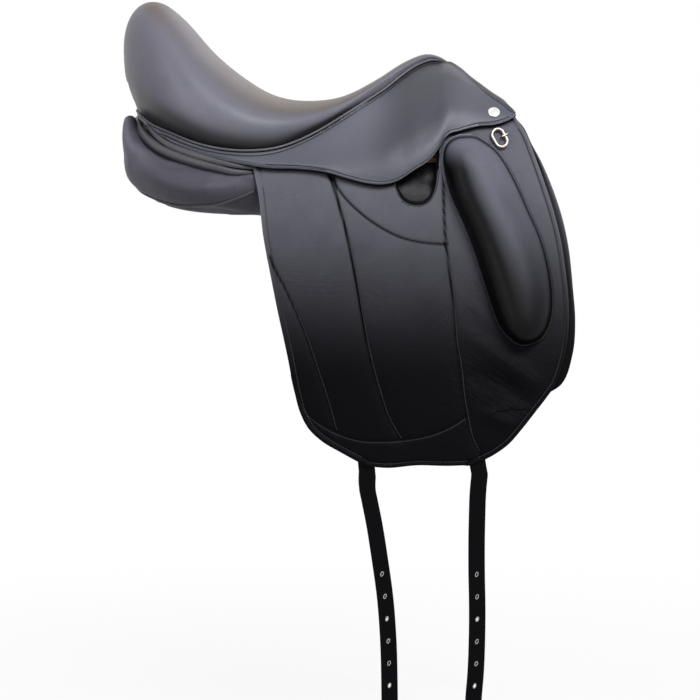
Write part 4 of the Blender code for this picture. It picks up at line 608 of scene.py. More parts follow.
def mesh_piece(name, points, faces, look):
    """A piece of the saddle, from its points and from its faces as lists of their points' numbers."""
    mesh = bpy.data.meshes.new(name)
    mesh.from_pydata(np.asarray(points, float).tolist(), [], faces)
    mesh.validate()
    mesh.shade_smooth()
    mesh.materials.append(look)
    return new_object(name, mesh)


def attribute(obj, name, values):
    """Stores a number or a vector for each point of a piece."""
    values = np.asarray(values, np.float32)
    kind = "FLOAT" if values.ndim == 1 else "FLOAT_VECTOR"
    found = obj.data.attributes.get(name) or obj.data.attributes.new(name, kind, "POINT")
    found.data.foreach_set("value" if values.ndim == 1 else "vector", values.ravel())


def points_of(obj, what="co"):
    """Each point's place or, with what "normal", its normal."""
    found = np.zeros(len(obj.data.vertices) * 3)
    obj.data.vertices.foreach_get(what, found)
    return found.reshape(-1, 3)


def move_points(obj, points):
    obj.data.vertices.foreach_set("co", np.asarray(points, float).ravel())
    obj.data.update()


def face_out(obj):
    """Turns a closed piece's faces outwards."""
    work = bmesh.new()
    work.from_mesh(obj.data)
    bmesh.ops.recalc_face_normals(work, faces=work.faces)
    if work.calc_volume(signed=True) < 0:
        bmesh.ops.reverse_faces(work, faces=work.faces)
    work.to_mesh(obj.data)
    work.free()
    return obj


def grid_quads(rows, columns, closed_rows=False, closed_columns=False, shift=0):
    r = np.arange(rows if closed_rows else rows - 1)[:, None]
    c = np.arange(columns if closed_columns else columns - 1)[None]
    down, right = (r + 1) % rows, (c + 1) % columns
    quads = np.stack([r * columns + c, down * columns + c, down * columns + right, r * columns + right], -1)
    return quads.reshape(-1, 4) + shift


def capped_rings(rings, around):
    """The faces of a row of rings that is closed by two end points, which come after the rings."""
    faces = grid_quads(rings, around, closed_columns=True).tolist()
    end = (rings - 1) * around
    for c in range(around):
        n = (c + 1) % around
        faces.append([rings * around, c, n])
        faces.append([rings * around + 1, end + n, end + c])
    return faces


def leather_sheet(name, outer, thickness, look, facing, marks=None):
    """A closed sheet of leather under a grid of points, with round edges.

    facing is roughly where its outer side looks, and marks gives the attributes of the outer grid's
    points, by name.
    """
    rows, columns = outer.shape[:2]
    normal = grid_normals(outer, facing)
    bulge = thickness * EDGE_BULGE
    ring = [(0, c) for c in range(columns)] + [(r, columns - 1) for r in range(1, rows)]
    ring += [(rows - 1, c) for c in range(columns - 2, -1, -1)] + [(r, 0) for r in range(rows - 2, 0, -1)]
    ring = np.array(ring)
    inside = np.clip(ring, [1, 1], [rows - 2, columns - 2])
    at = outer[ring[:, 0], ring[:, 1]]
    n = normal[ring[:, 0], ring[:, 1]]
    out = at - outer[inside[:, 0], inside[:, 1]]
    out = unit(out - np.sum(out * n, axis=1, keepdims=True) * n)
    along = unit(np.roll(at, -1, axis=0) - np.roll(at, 1, axis=0))
    sideways = unit(np.cross(along, n))
    sideways *= np.sign(np.sum(sideways * out, axis=1, keepdims=True) + 1e-9)
    out = unit(sideways * 0.75 + out * 0.25)
    outer = outer.copy()
    outer[ring[:, 0], ring[:, 1]] = at - out * bulge
    at = at - out * bulge
    inner = outer - normal * thickness
    points = [outer.reshape(-1, 3), inner.reshape(-1, 3)]
    count, around = rows * columns, len(ring)
    front_loop = ring[:, 0] * columns + ring[:, 1]
    loops = [front_loop]
    for k in range(1, RIM_STEPS):
        angle = math.pi * k / RIM_STEPS
        points.append(at - n * thickness / 2 * (1 - math.cos(angle)) + out * bulge * math.sin(angle))
        loops.append(2 * count + (k - 1) * around + np.arange(around))
    loops.append(front_loop + count)
    faces = [grid_quads(rows, columns), grid_quads(rows, columns, shift=count)[:, ::-1]]
    for a, b in zip(loops, loops[1:]):
        faces.append(np.stack([a, b, np.roll(b, -1), np.roll(a, -1)], -1)[:, ::-1])
    obj = mesh_piece(name, np.vstack(points), np.vstack(faces).tolist(), look)
    for key, values in (marks or {}).items():
        flat = values.reshape(count, *values.shape[2:])
        rim = flat[front_loop]
        attribute(obj, key, np.concatenate([flat, flat] + [rim] * (RIM_STEPS - 1)))
    return face_out(obj)


def tube(name, centres, radius, look, around=10, closed=False):
    """A round tube along points, with closed ends or, with closed, run round into itself."""
    centres = np.array(centres, float)
    count = len(centres)
    radius = np.broadcast_to(np.asarray(radius, float), (count,))
    if closed:
        tangent = unit(np.roll(centres, -1, axis=0) - np.roll(centres, 1, axis=0))
    else:
        tangent = unit(np.gradient(centres, axis=0))
    first = np.cross(tangent[0], [0.0, 0.0, 1.0])
    if np.linalg.norm(first) < 0.1:
        first = np.cross(tangent[0], [0.0, 1.0, 0.0])
    side = [unit(first)]
    for t in tangent[1:]:
        side.append(unit(side[-1] - (side[-1] @ t) * t))
    side = np.array(side)
    up = np.cross(side, tangent)
    angle = np.linspace(0, 2 * math.pi, around, endpoint=False)[None, :, None]
    rings = centres[:, None] + radius[:, None, None] * (
        np.cos(angle) * side[:, None] + np.sin(angle) * up[:, None]
    )
    points = rings.reshape(-1, 3)
    if closed:
        return face_out(mesh_piece(name, points, grid_quads(count, around, True, True).tolist(), look))
    ends = [centres[0] - tangent[0] * radius[0] * 0.4, centres[-1] + tangent[-1] * radius[-1] * 0.4]
    return face_out(mesh_piece(name, np.vstack([points, ends]), capped_rings(count, around), look))


def even_steps(points, pitch):
    """Places along a row of points, every pitch."""
    points = np.array(points, float)
    steps = np.linalg.norm(np.diff(points, axis=0), axis=1)
    along = np.concatenate([[0], np.cumsum(steps)])
    wanted = np.linspace(0, along[-1], max(int(along[-1] / pitch), 2))
    return np.stack([np.interp(wanted, along, points[:, k]) for k in range(points.shape[1])], axis=-1)


def stitch_rows(name, rows):
    """A piece of thread: a row of short slanted stitches along each row of (points, normals)."""
    rings, around = 3, 6
    theta = np.linspace(0, math.pi, rings + 2)[1:-1, None]
    phi = np.linspace(0, 2 * math.pi, around, endpoint=False)[None]
    ball = stack(np.cos(theta), np.sin(theta) * np.cos(phi), np.sin(theta) * np.sin(phi)).reshape(-1, 3)
    ball = np.vstack([ball, [1, 0, 0], [-1, 0, 0]])
    ball_faces = capped_rings(rings, around)
    all_points, faces, shift = [], [], 0
    for points, normals in rows:
        packed = even_steps(np.hstack([points, normals]), STITCH_PITCH)
        at, normal = packed[:, :3], unit(packed[:, 3:])
        tangent = unit(np.gradient(at, axis=0))
        across = unit(np.cross(normal, tangent))
        axis = math.cos(STITCH_SLANT) * tangent + math.sin(STITCH_SLANT) * across
        side = unit(np.cross(normal, axis))
        body = (
            at[:, None] + normal[:, None] * STITCH_RISE
            + ball[None, :, :1] * axis[:, None] * STITCH_LENGTH / 2
            + ball[None, :, 1:2] * side[:, None] * STITCH_RADIUS
            + ball[None, :, 2:] * normal[:, None] * STITCH_RADIUS
        )
        all_points.append(body.reshape(-1, 3))
        for _ in at:
            faces.extend([[i + shift for i in face] for face in ball_faces])
            shift += len(ball)
    return face_out(mesh_piece(name, np.vstack(all_points), faces, black_thread))


def applied(obj):
    """Replaces a piece's mesh with what its modifiers make of it."""
    bpy.context.view_layer.update()
    graph = bpy.context.evaluated_depsgraph_get()
    mesh = bpy.data.meshes.new_from_object(obj.evaluated_get(graph), depsgraph=graph)
    obj.modifiers.clear()
    obj.data = mesh
    return obj


def evened(node, name, look, voxel, softening):
    """A CAD piece's shape as an even mesh, softened."""
    obj = new_object(name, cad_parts[node].data.copy())
    obj.data.materials.clear()
    obj.data.materials.append(look)
    remesh = obj.modifiers.new("even", "REMESH")
    remesh.mode = "VOXEL"
    remesh.voxel_size = voxel
    soften = obj.modifiers.new("soften", "SMOOTH")
    soften.factor = 0.5
    soften.iterations = softening
    return applied(obj)


def cut(obj, outline, side):
    """Cuts an outline in side view, x and z, right through one side of a piece."""
    near = placed([(x, 0.0, z) for x, z in outline], side)
    far = placed([(x, CUT_REACH, z) for x, z in outline], side)
    count = len(outline)
    faces = [list(range(count)), list(range(2 * count - 1, count - 1, -1))]
    for i in range(count):
        n = (i + 1) % count
        faces.append([i, n, n + count, i + count])
    cutter = face_out(mesh_piece("cutter", np.vstack([near, far]), faces, obj.data.materials[0]))
    change = obj.modifiers.new("cut", "BOOLEAN")
    change.object = cutter
    change.operation = "DIFFERENCE"
    change.solver = "MANIFOLD"
    applied(obj)
    bpy.data.objects.remove(cutter)
    obj.data.set_sharp_from_angle(angle=math.radians(50))
    return obj


# Materials: nodes from Python expressions

class Socket:
    """An output of a look's nodes. Python's operators on it add Math nodes."""

    def __init__(self, look, output):
        self.look = look
        self.output = output

    def __add__(self, other):
        return self.look.math("ADD", self, other)

    __radd__ = __add__

    def __sub__(self, other):
        return self.look.math("SUBTRACT", self, other)

    def __rsub__(self, other):
        return self.look.math("SUBTRACT", other, self)

    def __mul__(self, other):
        return self.look.math("MULTIPLY", self, other)

    __rmul__ = __mul__

    def __pow__(self, other):
        return self.look.math("POWER", self, other)

    def between(self, low, high, kind="SMOOTHSTEP"):
        """0 below low and 1 above high, smooth or LINEAR between them."""
        return self.look.node(
            "ShaderNodeMapRange", {"interpolation_type": kind},
            {"Value": self, "From Min": low, "From Max": high}, "Result",
        )


class Nodes:
    """The nodes of a material or of the room, added by the functions that describe it."""

    def __init__(self, owner, shader, output):
        owner.use_nodes = True
        self.tree = owner.node_tree
        self.shader = self.tree.nodes[shader]
        self.output = self.tree.nodes[output]

    def set(self, node, values):
        """Gives a node's sockets their values or links."""
        for key, value in values.items():
            socket = node.inputs[key]
            if isinstance(value, Socket):
                self.tree.links.new(value.output, socket)
            elif hasattr(value, "__len__") and len(value) == 3 and socket.type == "RGBA":
                socket.default_value = (*value, 1.0)
            else:
                socket.default_value = value

    def node(self, kind, settings, values, output=0):
        """Adds a node with its settings and then its values and links, and gives one of its outputs."""
        made = self.tree.nodes.new(kind)
        for key, value in settings.items():
            setattr(made, key, value)
        self.set(made, values)
        return Socket(self, made.outputs[output])

    def math(self, operation, a, b):
        return self.node("ShaderNodeMath", {"operation": operation}, {0: a, 1: b})

    def attribute(self, name, output="Fac"):
        return self.node("ShaderNodeAttribute", {"attribute_name": name}, {}, output)

    def stretched(self, vector, scale):
        return self.node("ShaderNodeMapping", {}, {"Vector": vector, "Scale": scale}, "Vector")

    def noise(self, vector, scale, detail=2.0, roughness=0.5):
        return self.node(
            "ShaderNodeTexNoise", {},
            {"Vector": vector, "Scale": scale, "Detail": detail, "Roughness": roughness}, "Fac",
        )

    def cells(self, vector, scale):
        return self.node("ShaderNodeTexVoronoi", {}, {"Vector": vector, "Scale": scale}, "Distance")

    def shown_white(self):
        """1 for the rays that show the background: the camera's, and those mirrored or let through."""
        shown = self.node("ShaderNodeLightPath", {}, {}, "Is Camera Ray")
        for ray in ("Is Glossy Ray", "Is Transmission Ray"):
            shown = self.math("MAXIMUM", shown, self.node("ShaderNodeLightPath", {}, {}, ray))
        return shown

    def mix_shaders(self, factor, other):
        """Ends the nodes with the plain shader, and with the other one where factor is 1."""
        plain = Socket(self, self.shader.outputs[0])
        mixed = self.node("ShaderNodeMixShader", {}, {0: factor, 1: plain, 2: other})
        self.set(self.output, {"Surface": mixed})

    def mix(self, factor, a, b):
        return self.node("ShaderNodeMix", {"data_type": "RGBA"}, {0: factor, 6: a, 7: b}, 2)

    def bump(self, height, distance, strength=1.0):
        return self.node(
            "ShaderNodeBump", {}, {"Height": height, "Distance": distance, "Strength": strength}, "Normal"
        )


class Look(Nodes):
    """A material's nodes, with values for its plain shader."""

    def __init__(self, name, **constants):
        self.material = bpy.data.materials.new(name)
        super().__init__(self.material, "Principled BSDF", "Material Output")
        for key, value in constants.items():
            self.set(self.shader, {key.replace("_", " "): value})


def leather(name, pale, dark, roughness=0.42, specular=0.3, low=-0.26, high=0.06, grain=1.0):
    """Black leather: fine grain, creases, paler worn places, and painted shade that darkens it towards the
    ground.

    It is pale above the height high and dark below low, which is painted shade. tone is 0.5 on plain
    leather, more on a rubbed edge and less where shade is painted in: in grooves, under overhangs and
    on sides turned from the light. warm is 1 where a warm reflection is painted on leather facing up.
    """
    look = Look(name, Specular_IOR_Level=specular)
    rest = look.attribute("rest", "Vector")
    tone = look.attribute("tone")
    crease = look.attribute("crease", "Vector")
    warm = look.attribute("warm")
    creased = look.node("ShaderNodeSeparateXYZ", {}, {"Vector": crease}, "Z")
    height = look.node("ShaderNodeSeparateXYZ", {}, {"Vector": rest}, "Z")
    patches = look.noise(rest, 24.0, 3.0)
    mottle = look.noise(rest, 150.0, 3.0, 0.6)
    fine = look.noise(rest, 520.0, 2.0)
    pores = look.cells(rest, 900.0)
    folds = look.noise(look.stretched(crease, (42.0, 270.0, 0.0)), 1.0, 3.0, 0.6)
    # painted shade: the leather grows darker towards the ground, below the height high
    share = height.between(low, high) ** 1.35
    share = share * (0.78 + 0.44 * patches) + 0.14 * (mottle - 0.5) * share
    colour = look.mix(share, dark, pale)
    # painted warm reflection where warm is set, on leather that faces up
    colour = look.mix(warm, colour, PAINTED_WARM_SHEEN)
    worn = tuple(c * 1.7 + 0.004 for c in pale)
    colour = look.mix(tone.between(0.5, 1.0) * share, colour, worn)
    # painted shade where tone is under 0.5
    shaded = tuple(c * 0.12 for c in dark)
    colour = look.mix(1 - tone.between(0.0, 0.5), colour, shaded)
    rise = grain * (0.05 * pores + 0.16 * mottle + 0.10 * fine) + (folds - 0.5) * creased * 2.4
    rough = (roughness - 0.13) + 0.20 * mottle + 0.10 * patches
    look.set(look.shader, {"Base Color": colour, "Roughness": rough, "Normal": look.bump(rise, 0.0011)})
    return look.material


def thread():
    """Black waxed thread, twisted."""
    look = Look("waxed_thread", Roughness=0.6, Specular_IOR_Level=0.35)
    twist = look.noise(look.attribute("rest", "Vector"), 1600.0, 1.0)
    look.set(look.shader, {
        "Base Color": look.mix(twist, (0.006, 0.006, 0.008), (0.042, 0.041, 0.045)),
        "Normal": look.bump(twist, 0.0002),
    })
    return look.material


def metal(name, pale, dark, roughness):
    """Polished or brushed metal with faint scratches and dulled patches."""
    look = Look(name, Metallic=1.0)
    place = look.node("ShaderNodeTexCoord", {}, {}, "Object")
    fine = look.noise(look.stretched(place, (2600.0, 500.0, 500.0)), 1.0, 2.0)
    patches = look.noise(place, 180.0, 3.0)
    look.set(look.shader, {
        "Base Color": look.mix(patches, dark, pale),
        "Roughness": roughness + 0.16 * patches + 0.06 * fine,
        "Normal": look.bump(fine, 0.00008, 0.5),
    })
    return look.material


def wood():
    """Moulded laminated beech: pale and dark plies with a fine grain, varnished."""
    look = Look("laminated_beech", Specular_IOR_Level=0.45)
    place = look.node("ShaderNodeTexCoord", {}, {}, "Object")
    grain = look.noise(look.stretched(place, (14.0, 260.0, 260.0)), 1.0, 4.0, 0.6)
    plies = look.node("ShaderNodeTexWave", {"bands_direction": "Z"}, {
        "Vector": place, "Scale": 210.0, "Distortion": 1.2, "Detail": 1.0,
    }, "Fac")
    colour = look.mix(grain, (0.20, 0.105, 0.045), (0.46, 0.28, 0.13))
    colour = look.mix(plies * 0.45, colour, (0.13, 0.07, 0.035))
    look.set(look.shader, {
        "Base Color": colour, "Roughness": 0.42 + 0.25 * grain, "Normal": look.bump(grain, 0.0002, 0.6),
    })
    return look.material


def weave(name, pale, dark):
    """Tightly woven linen webbing."""
    look = Look(name, Sheen_Weight=0.2)
    place = look.attribute("rest", "Vector")
    warp = look.node("ShaderNodeTexWave", {"bands_direction": "Y"}, {"Vector": place, "Scale": 160.0}, "Fac")
    weft = look.node("ShaderNodeTexWave", {"bands_direction": "X"}, {"Vector": place, "Scale": 160.0}, "Fac")
    height = warp * (1 - weft) + weft * (1 - warp)
    patches = look.noise(place, 60.0, 3.0)
    look.set(look.shader, {
        "Base Color": look.mix(height * 0.7 + patches * 0.3, dark, pale),
        "Roughness": 0.8 + 0.1 * patches,
        "Normal": look.bump(height, 0.0004),
    })
    return look.material


def foam_look():
    """Yellowish seat foam with open cells."""
    look = Look("seat_foam_look", Sheen_Weight=0.1)
    place = look.attribute("rest", "Vector")
    holes = look.cells(place, 700.0)
    patches = look.noise(place, 30.0, 3.0)
    look.set(look.shader, {
        "Base Color": look.mix(patches, (0.44, 0.37, 0.20), (0.66, 0.60, 0.42)),
        "Roughness": 0.85 + 0.1 * patches,
        "Normal": look.bump(holes, 0.0006),
    })
    return look.material


# Each leather's colour falls from pale to dark below the height high: painted shade that darkens it towards
# the ground, deepest on the flaps and knee blocks.
seat_leather = leather(
    "seat_leather", (0.158, 0.155, 0.187), (0.045, 0.044, 0.053), 0.42, 0.32, -0.02, 0.14,
)
skirt_leather = leather(
    "skirt_leather", (0.158, 0.157, 0.194), (0.070, 0.070, 0.090), 0.42, 0.30, 0.00, 0.14,
)
flap_leather = leather(
    "flap_leather", (0.130, 0.129, 0.152), (0.0010, 0.0010, 0.0018), 0.46, 0.045, -0.225, 0.07, 2.2,
)
panel_leather = leather(
    "panel_leather", (0.140, 0.136, 0.168), (0.034, 0.033, 0.043), 0.46, 0.22, -0.03, 0.10, 1.8,
)
block_leather = leather(
    "block_leather", (0.150, 0.151, 0.186), (0.0050, 0.0050, 0.0080), 0.42, 0.12, -0.19, 0.09,
)
strap_leather = leather("strap_leather", (0.0030, 0.0030, 0.0040), (0.0018, 0.0018, 0.0024), 0.50, 0.05)
edge_leather = leather(
    "edge_leather", (0.120, 0.118, 0.128), (0.030, 0.030, 0.034), 0.38, 0.30, -0.05, 0.12,
)
raw_leather = leather("raw_leather", (0.50, 0.48, 0.45), (0.40, 0.38, 0.36), 0.6, 0.2)
black_thread = thread()
beech = wood()
linen = weave("linen_webbing", (0.56, 0.50, 0.38), (0.30, 0.26, 0.18))
yellow_foam = foam_look()
nickel = metal("nickel_plate", (0.52, 0.46, 0.42), (0.32, 0.28, 0.25), 0.30)
bright_nickel = metal("bright_nickel", (0.93, 0.92, 0.90), (0.78, 0.77, 0.75), 0.10)
steel = metal("plain_steel", (0.60, 0.59, 0.58), (0.40, 0.39, 0.38), 0.30)


def finish(obj, body="saddle", tone=0.5, replaces=(), bend=None):
    """Gives a finished piece its attributes and its place on a body, and hides the CAD parts that it
    replaces.

    bend is (body a, body b, start, end) for a piece that crosses a joint. Its values are not used: a piece
    given one goes on no body, and its place is baked into its points.
    """
    if obj.data.attributes.get("tone") is None:
        attribute(obj, "tone", np.full(len(obj.data.vertices), tone))
    if obj.data.attributes.get("crease") is None:
        attribute(obj, "crease", np.zeros((len(obj.data.vertices), 3)))
    attribute(obj, "rest", points_of(obj))
    if bend is None:
        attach(obj, body)
    else:
        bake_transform(obj)
    if replaces:
        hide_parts(*replaces)
    return obj


def fold_bend(ends, lean, reach, lobe, side):
    """The bend of a sheet's free part, from above its fold line to below it.

    ends are the two ends of that line on the left side, and lean is how much its way out rises.
    """
    down = unit(np.cross(unit(ends[1] - ends[0]), np.array([0.0, 1.0, lean])))
    down *= -np.sign(down[2])
    middle = (ends[0] + ends[1]) / 2
    return "saddle", lobe, placed(middle - down * reach, side), placed(middle + down * reach, side)


# The seat

def seat_grid():
    """The seat's outer surface: rows from rear to front, each from the right seam to the left one."""
    turn = np.linspace(0.012, math.pi - 0.02, 150)
    x = SEAT_REAR_X + (SEAT_FRONT_X - SEAT_REAR_X) * (1 - np.cos(turn)) / 2
    w, z = seat_section(x, top_steps=30, under_steps=9)
    half = stack(x[:, None], w, z)
    grid = np.concatenate([placed(half[:, ::-1], RIGHT), placed(half[:, 1:], LEFT)], axis=1)
    # both sides of the rear end pass the middle a little, so that the cover closes there
    grid[0, :, 1] = -0.0008 * np.sign(grid[0, :, 1])
    return grid


def build_seat():
    """The seat's cover, the cushion of foam inside it and the welt round it."""
    grid = smoothed(seat_grid(), 3)
    up = grid_normals(grid)[..., 2]
    # Painted shade on the down-facing underside of the seat's rear part (tone), and a painted warm
    # reflection on its up-facing top (warm).
    shaded = ease(-up, -0.25, 0.55) * (1 - ease(grid[..., 0], -0.020, 0.060))
    marks = {"tone": 0.5 - 0.44 * shaded, "warm": 0.85 * ease(up, 0.62, 1.0)}
    cover = leather_sheet("seat_cover_leather", grid, COVER_LEATHER, seat_leather, UP, marks)
    finish(cover, replaces=("seat_cover",))

    pad = evened("seat_foam", "seat_foam_pad", yellow_foam, FOAM_MESH, 4)
    pad.data.shade_smooth()
    finish(pad, replaces=("seat_foam",))

    rear = SEAT_SEAM.s[0]
    x = rear + (WELT_END_X - rear) * (1 - np.cos(np.linspace(0.02, math.pi / 2, 130)))
    top, _, _, towards = skirt_edges(x)
    half = stack(x, *np.moveaxis(top + towards * (WELT_RADIUS + LAYER_GAP * 0.5), -1, 0))
    radius = WELT_RADIUS * (1 - 0.45 * ease(x, WELT_FRONT_X, WELT_END_X))
    points = [*placed(half, RIGHT)[::-1], *placed(half, LEFT)]
    welt = tube("seat_welt_cord", points, [*radius[::-1], *radius], edge_leather)
    finish(welt, tone=0.62, replaces=("seat_welt",))


# The skirts

def skirt_lines(side):
    """The rows of stitches on a skirt, as (points, normals)."""
    step = 0.0015
    rows = []
    for start, end, count, away, lowest in SKIRT_ROWS:
        x = np.linspace(start, end, count)
        drop = np.linalg.norm(on_skirt(x, 1.0) - on_skirt(x, 0.0), axis=1)
        share = np.minimum(away / drop, lowest) if away > 0 else 1 + away / drop
        along = on_skirt(x + step, share) - on_skirt(x - step, share)
        down = on_skirt(x, share + 0.02) - on_skirt(x, share - 0.02)
        normal = unit(np.cross(along, down))
        normal *= np.where(normal[:, 1:2] < 0, -1.0, 1.0)
        rows.append((placed(on_skirt(x, share), side), placed(normal, side)))
    return rows


def skirt_bend(side, word):
    """The bend of the lobe that lifts."""
    ends = [on_skirt(x, skirt_share(x, z)) for x, z in SKIRT_FOLD]
    return fold_bend(ends, 0.15, SKIRT_BEND, f"skirt_lobe_{word}", side)


def build_skirts():
    """The skirts, draped over the pommel's hollow, with their stitches."""
    dense = np.linspace(SKIRT_REAR_X, SKIRT_FRONT_X, 900)
    top, low = on_skirt(dense, 0.0), on_skirt(dense, 1.0)
    steps = np.linalg.norm(np.diff(top, axis=0), axis=1) + np.linalg.norm(np.diff(low, axis=0), axis=1)
    along = np.concatenate([[0], np.cumsum(steps)])
    x = np.interp(np.linspace(0, along[-1], 230), along, dense)
    share = np.array([0, 0.015, 0.04, *np.linspace(0.08, 0.92, 30), 0.96, 0.985, 1.0])
    base = smoothed(on_skirt(x[:, None], share[None]), 2)
    draped = smoothed(base, SKIRT_DRAPING, across=False)
    loose = ease(x, 0.040, 0.080) * (1 - ease(x, 0.145, 0.172))
    loose = loose[:, None] * (ease(share, 0.0, 0.20) * (1 - ease(share, 0.70, 1.0)))[None]
    base[..., 1] += (draped[..., 1] - base[..., 1]) * loose
    above_edge = np.linalg.norm(base - base[:, -1:], axis=-1)
    below_seam = np.linalg.norm(base - base[:, :1], axis=-1)
    hem = bell(above_edge - SKIRT_HEM, SKIRT_GROOVE)
    top_row = bell(below_seam - SKIRT_TOP_ROW, SKIRT_GROOVE)
    relief = 0.0007 * bell(above_edge, 0.0022) - 0.00055 * hem - 0.0005 * top_row
    # tone: the rubbed edge is paler, shade is painted into the grooves of the hem and the top row, and the
    # skirt is darker towards the front.
    tone = 0.5 + 0.42 * bell(above_edge, 0.0020) - 0.14 * hem - 0.16 * top_row
    front = ease(x, -0.015, 0.075) * (1 - 0.30 * ease(x, 0.100, 0.150))
    tone -= 0.30 * front[:, None] * (1 - 0.6 * ease(share, 0.60, 0.95))[None]
    base = base + grid_normals(base, OUTWARDS) * relief[..., None]
    for word, side in SIDES:
        bend = skirt_bend(side, word)
        skirt = leather_sheet(f"skirt_leather_{word}", placed(base, side), SKIRT_LEATHER, skirt_leather,
                              (0, side, 0), {"tone": tone})
        finish(skirt, replaces=(f"skirt_{word}", f"skirt_lobe_{word}"), bend=bend)
        finish(stitch_rows(f"skirt_stitches_{word}", skirt_lines(side)), bend=bend)


# The flaps

def flap_relief(x, z):
    """How far the flap's surface stands up or sinks in, and its tone, at x and z."""
    at = np.stack([x, z], axis=-1)
    relief = np.zeros_like(x)
    tone = np.full_like(x, 0.5)
    for seam, depth, pillow, *_ in FLAP_SEAMS:
        away, _ = off_line(at, seam)
        relief -= depth * 0.0016 * bell(away, 0.0018) + pillow * 0.0018 * np.exp(-away / 0.009)
        # painted shade in the seam's groove
        tone -= depth * 0.55 * bell(away, 0.0019)
    for line, height, core, reach, risen, fading in STRAP_SHAPES:
        away, along = off_line(at, path(line))
        shown = ease(along, 0.0, risen) * (1 - ease(along, fading, 1.0))
        relief += height * (1 - ease(away, core, reach)) * shown
    for line, height, reach in FLAP_FOLDS:
        away, along = off_line(at, path(line))
        relief += height * bell(away, reach) * np.sin(np.pi * np.clip(along, 0.02, 0.98)) ** 0.8
    return relief, tone


def flap_creases(x, z):
    """For each point, how far along and across its creases it is, and how creased the leather is."""
    along, across, strength = x * 0.6, z * 0.6, np.full_like(x, 0.05)
    for cx, cz, reach, spread, degrees, amount in FLAP_CREASES:
        turn = math.radians(degrees)
        u = (x - cx) * math.cos(turn) + (z - cz) * math.sin(turn)
        v = -(x - cx) * math.sin(turn) + (z - cz) * math.cos(turn)
        here = np.exp(-(u / reach) ** 2 - (v / spread) ** 2) * amount
        strongest = here > strength
        along = np.where(strongest, u + cx, along)
        across = np.where(strongest, v + cz, across)
        strength = np.maximum(strength, here)
    return np.stack([along, across, strength], axis=-1)


def flap_bend(side, word):
    """The bend of the flap's free corner."""
    ends = on_flap(*np.array(FLAP_FOLD).T)
    return fold_bend(ends, 0.1, FLAP_BEND, f"flap_corner_{word}", side)


def flap_row(line, side, offset, start, end):
    """Points and normals along a line on the flap, moved sideways by offset."""
    at = line(np.linspace(start, end, 140))
    step = unit(np.gradient(at, axis=0))
    x, z = (at + np.stack([-step[:, 1], step[:, 0]], axis=-1) * offset).T
    relief, _ = flap_relief(x, z)
    h = 0.002
    slope_x = (flap_half_width(x + h, z) - flap_half_width(x - h, z)) / (2 * h)
    slope_z = (flap_half_width(x, z + h) - flap_half_width(x, z - h)) / (2 * h)
    normal = unit(np.stack([-slope_x, np.ones_like(x), -slope_z], axis=-1))
    return placed(on_flap(x, z) + normal * relief[:, None], side), placed(normal, side)


def outer_flap():
    """The outer flap's surface with its tone and creases."""
    u, v = denser_ends(125), denser_ends(150)
    flat = coons(FLAP_TOP_EDGE, FLAP_FOOT_EDGE, FLAP_REAR_EDGE, FLAP_FRONT_EDGE, u, v)
    x, z = flat[..., 0], flat[..., 1]
    relief, tone = flap_relief(x, z)
    for line, border, *_ in FLAP_BORDERS:
        edge = off_line(flat, line)[0]
        hem = bell(edge - border, 0.0013)
        relief += 0.0009 * bell(edge - border * 0.4, border * 0.4) - 0.0008 * hem
        # the rubbed edge is paler, and shade is painted into the border's groove
        tone += 0.20 * bell(edge - 0.0008, 0.0016) - 0.22 * hem
    # painted shadow: a dark band on the flap just under the skirt's lower edge
    below = np.maximum(SKIRT_LOW(x) - z, 0.0)
    tone -= 0.48 * bell(below, 0.0060) * (1 - ease(x, 0.200, 0.208))
    base = on_flap(x, z)
    outer = base + grid_normals(base, OUTWARDS) * relief[..., None]
    return outer, {"tone": tone, "crease": flap_creases(x, z)}


def sweat_flap():
    """The inner flap's surface with its tone."""
    u, v = denser_ends(70), denser_ends(80)
    flat = coons(SWEAT_TOP_EDGE, SWEAT_FOOT_EDGE, SWEAT_REAR_EDGE, SWEAT_FRONT_EDGE, u, v)
    x, z = flat[..., 0], flat[..., 1]
    edge = np.minimum(off_line(flat, SWEAT_FRONT_EDGE)[0], off_line(flat, SWEAT_REAR_EDGE)[0])
    base = on_flap(x, z, SWEAT_DEPTH)
    relief = 0.0006 * bell(edge - 0.0015, 0.0015)
    tone = 0.30 + 0.32 * bell(edge, 0.0018)
    # painted shade on the inner flap where it shows through the outer flap's recess
    painted_recess_shade = ease(z, -0.020, -0.006) * (1 - ease(x, 0.115, 0.125))
    tone -= 0.28 * painted_recess_shade * (edge > 0.01)
    # painted shadow along the outer flap's front edge
    tone -= 0.34 * bell(off_line(flat, FLAP_FRONT_EDGE)[0], 0.0032)
    return base + grid_normals(base, OUTWARDS) * relief[..., None], {"tone": tone}


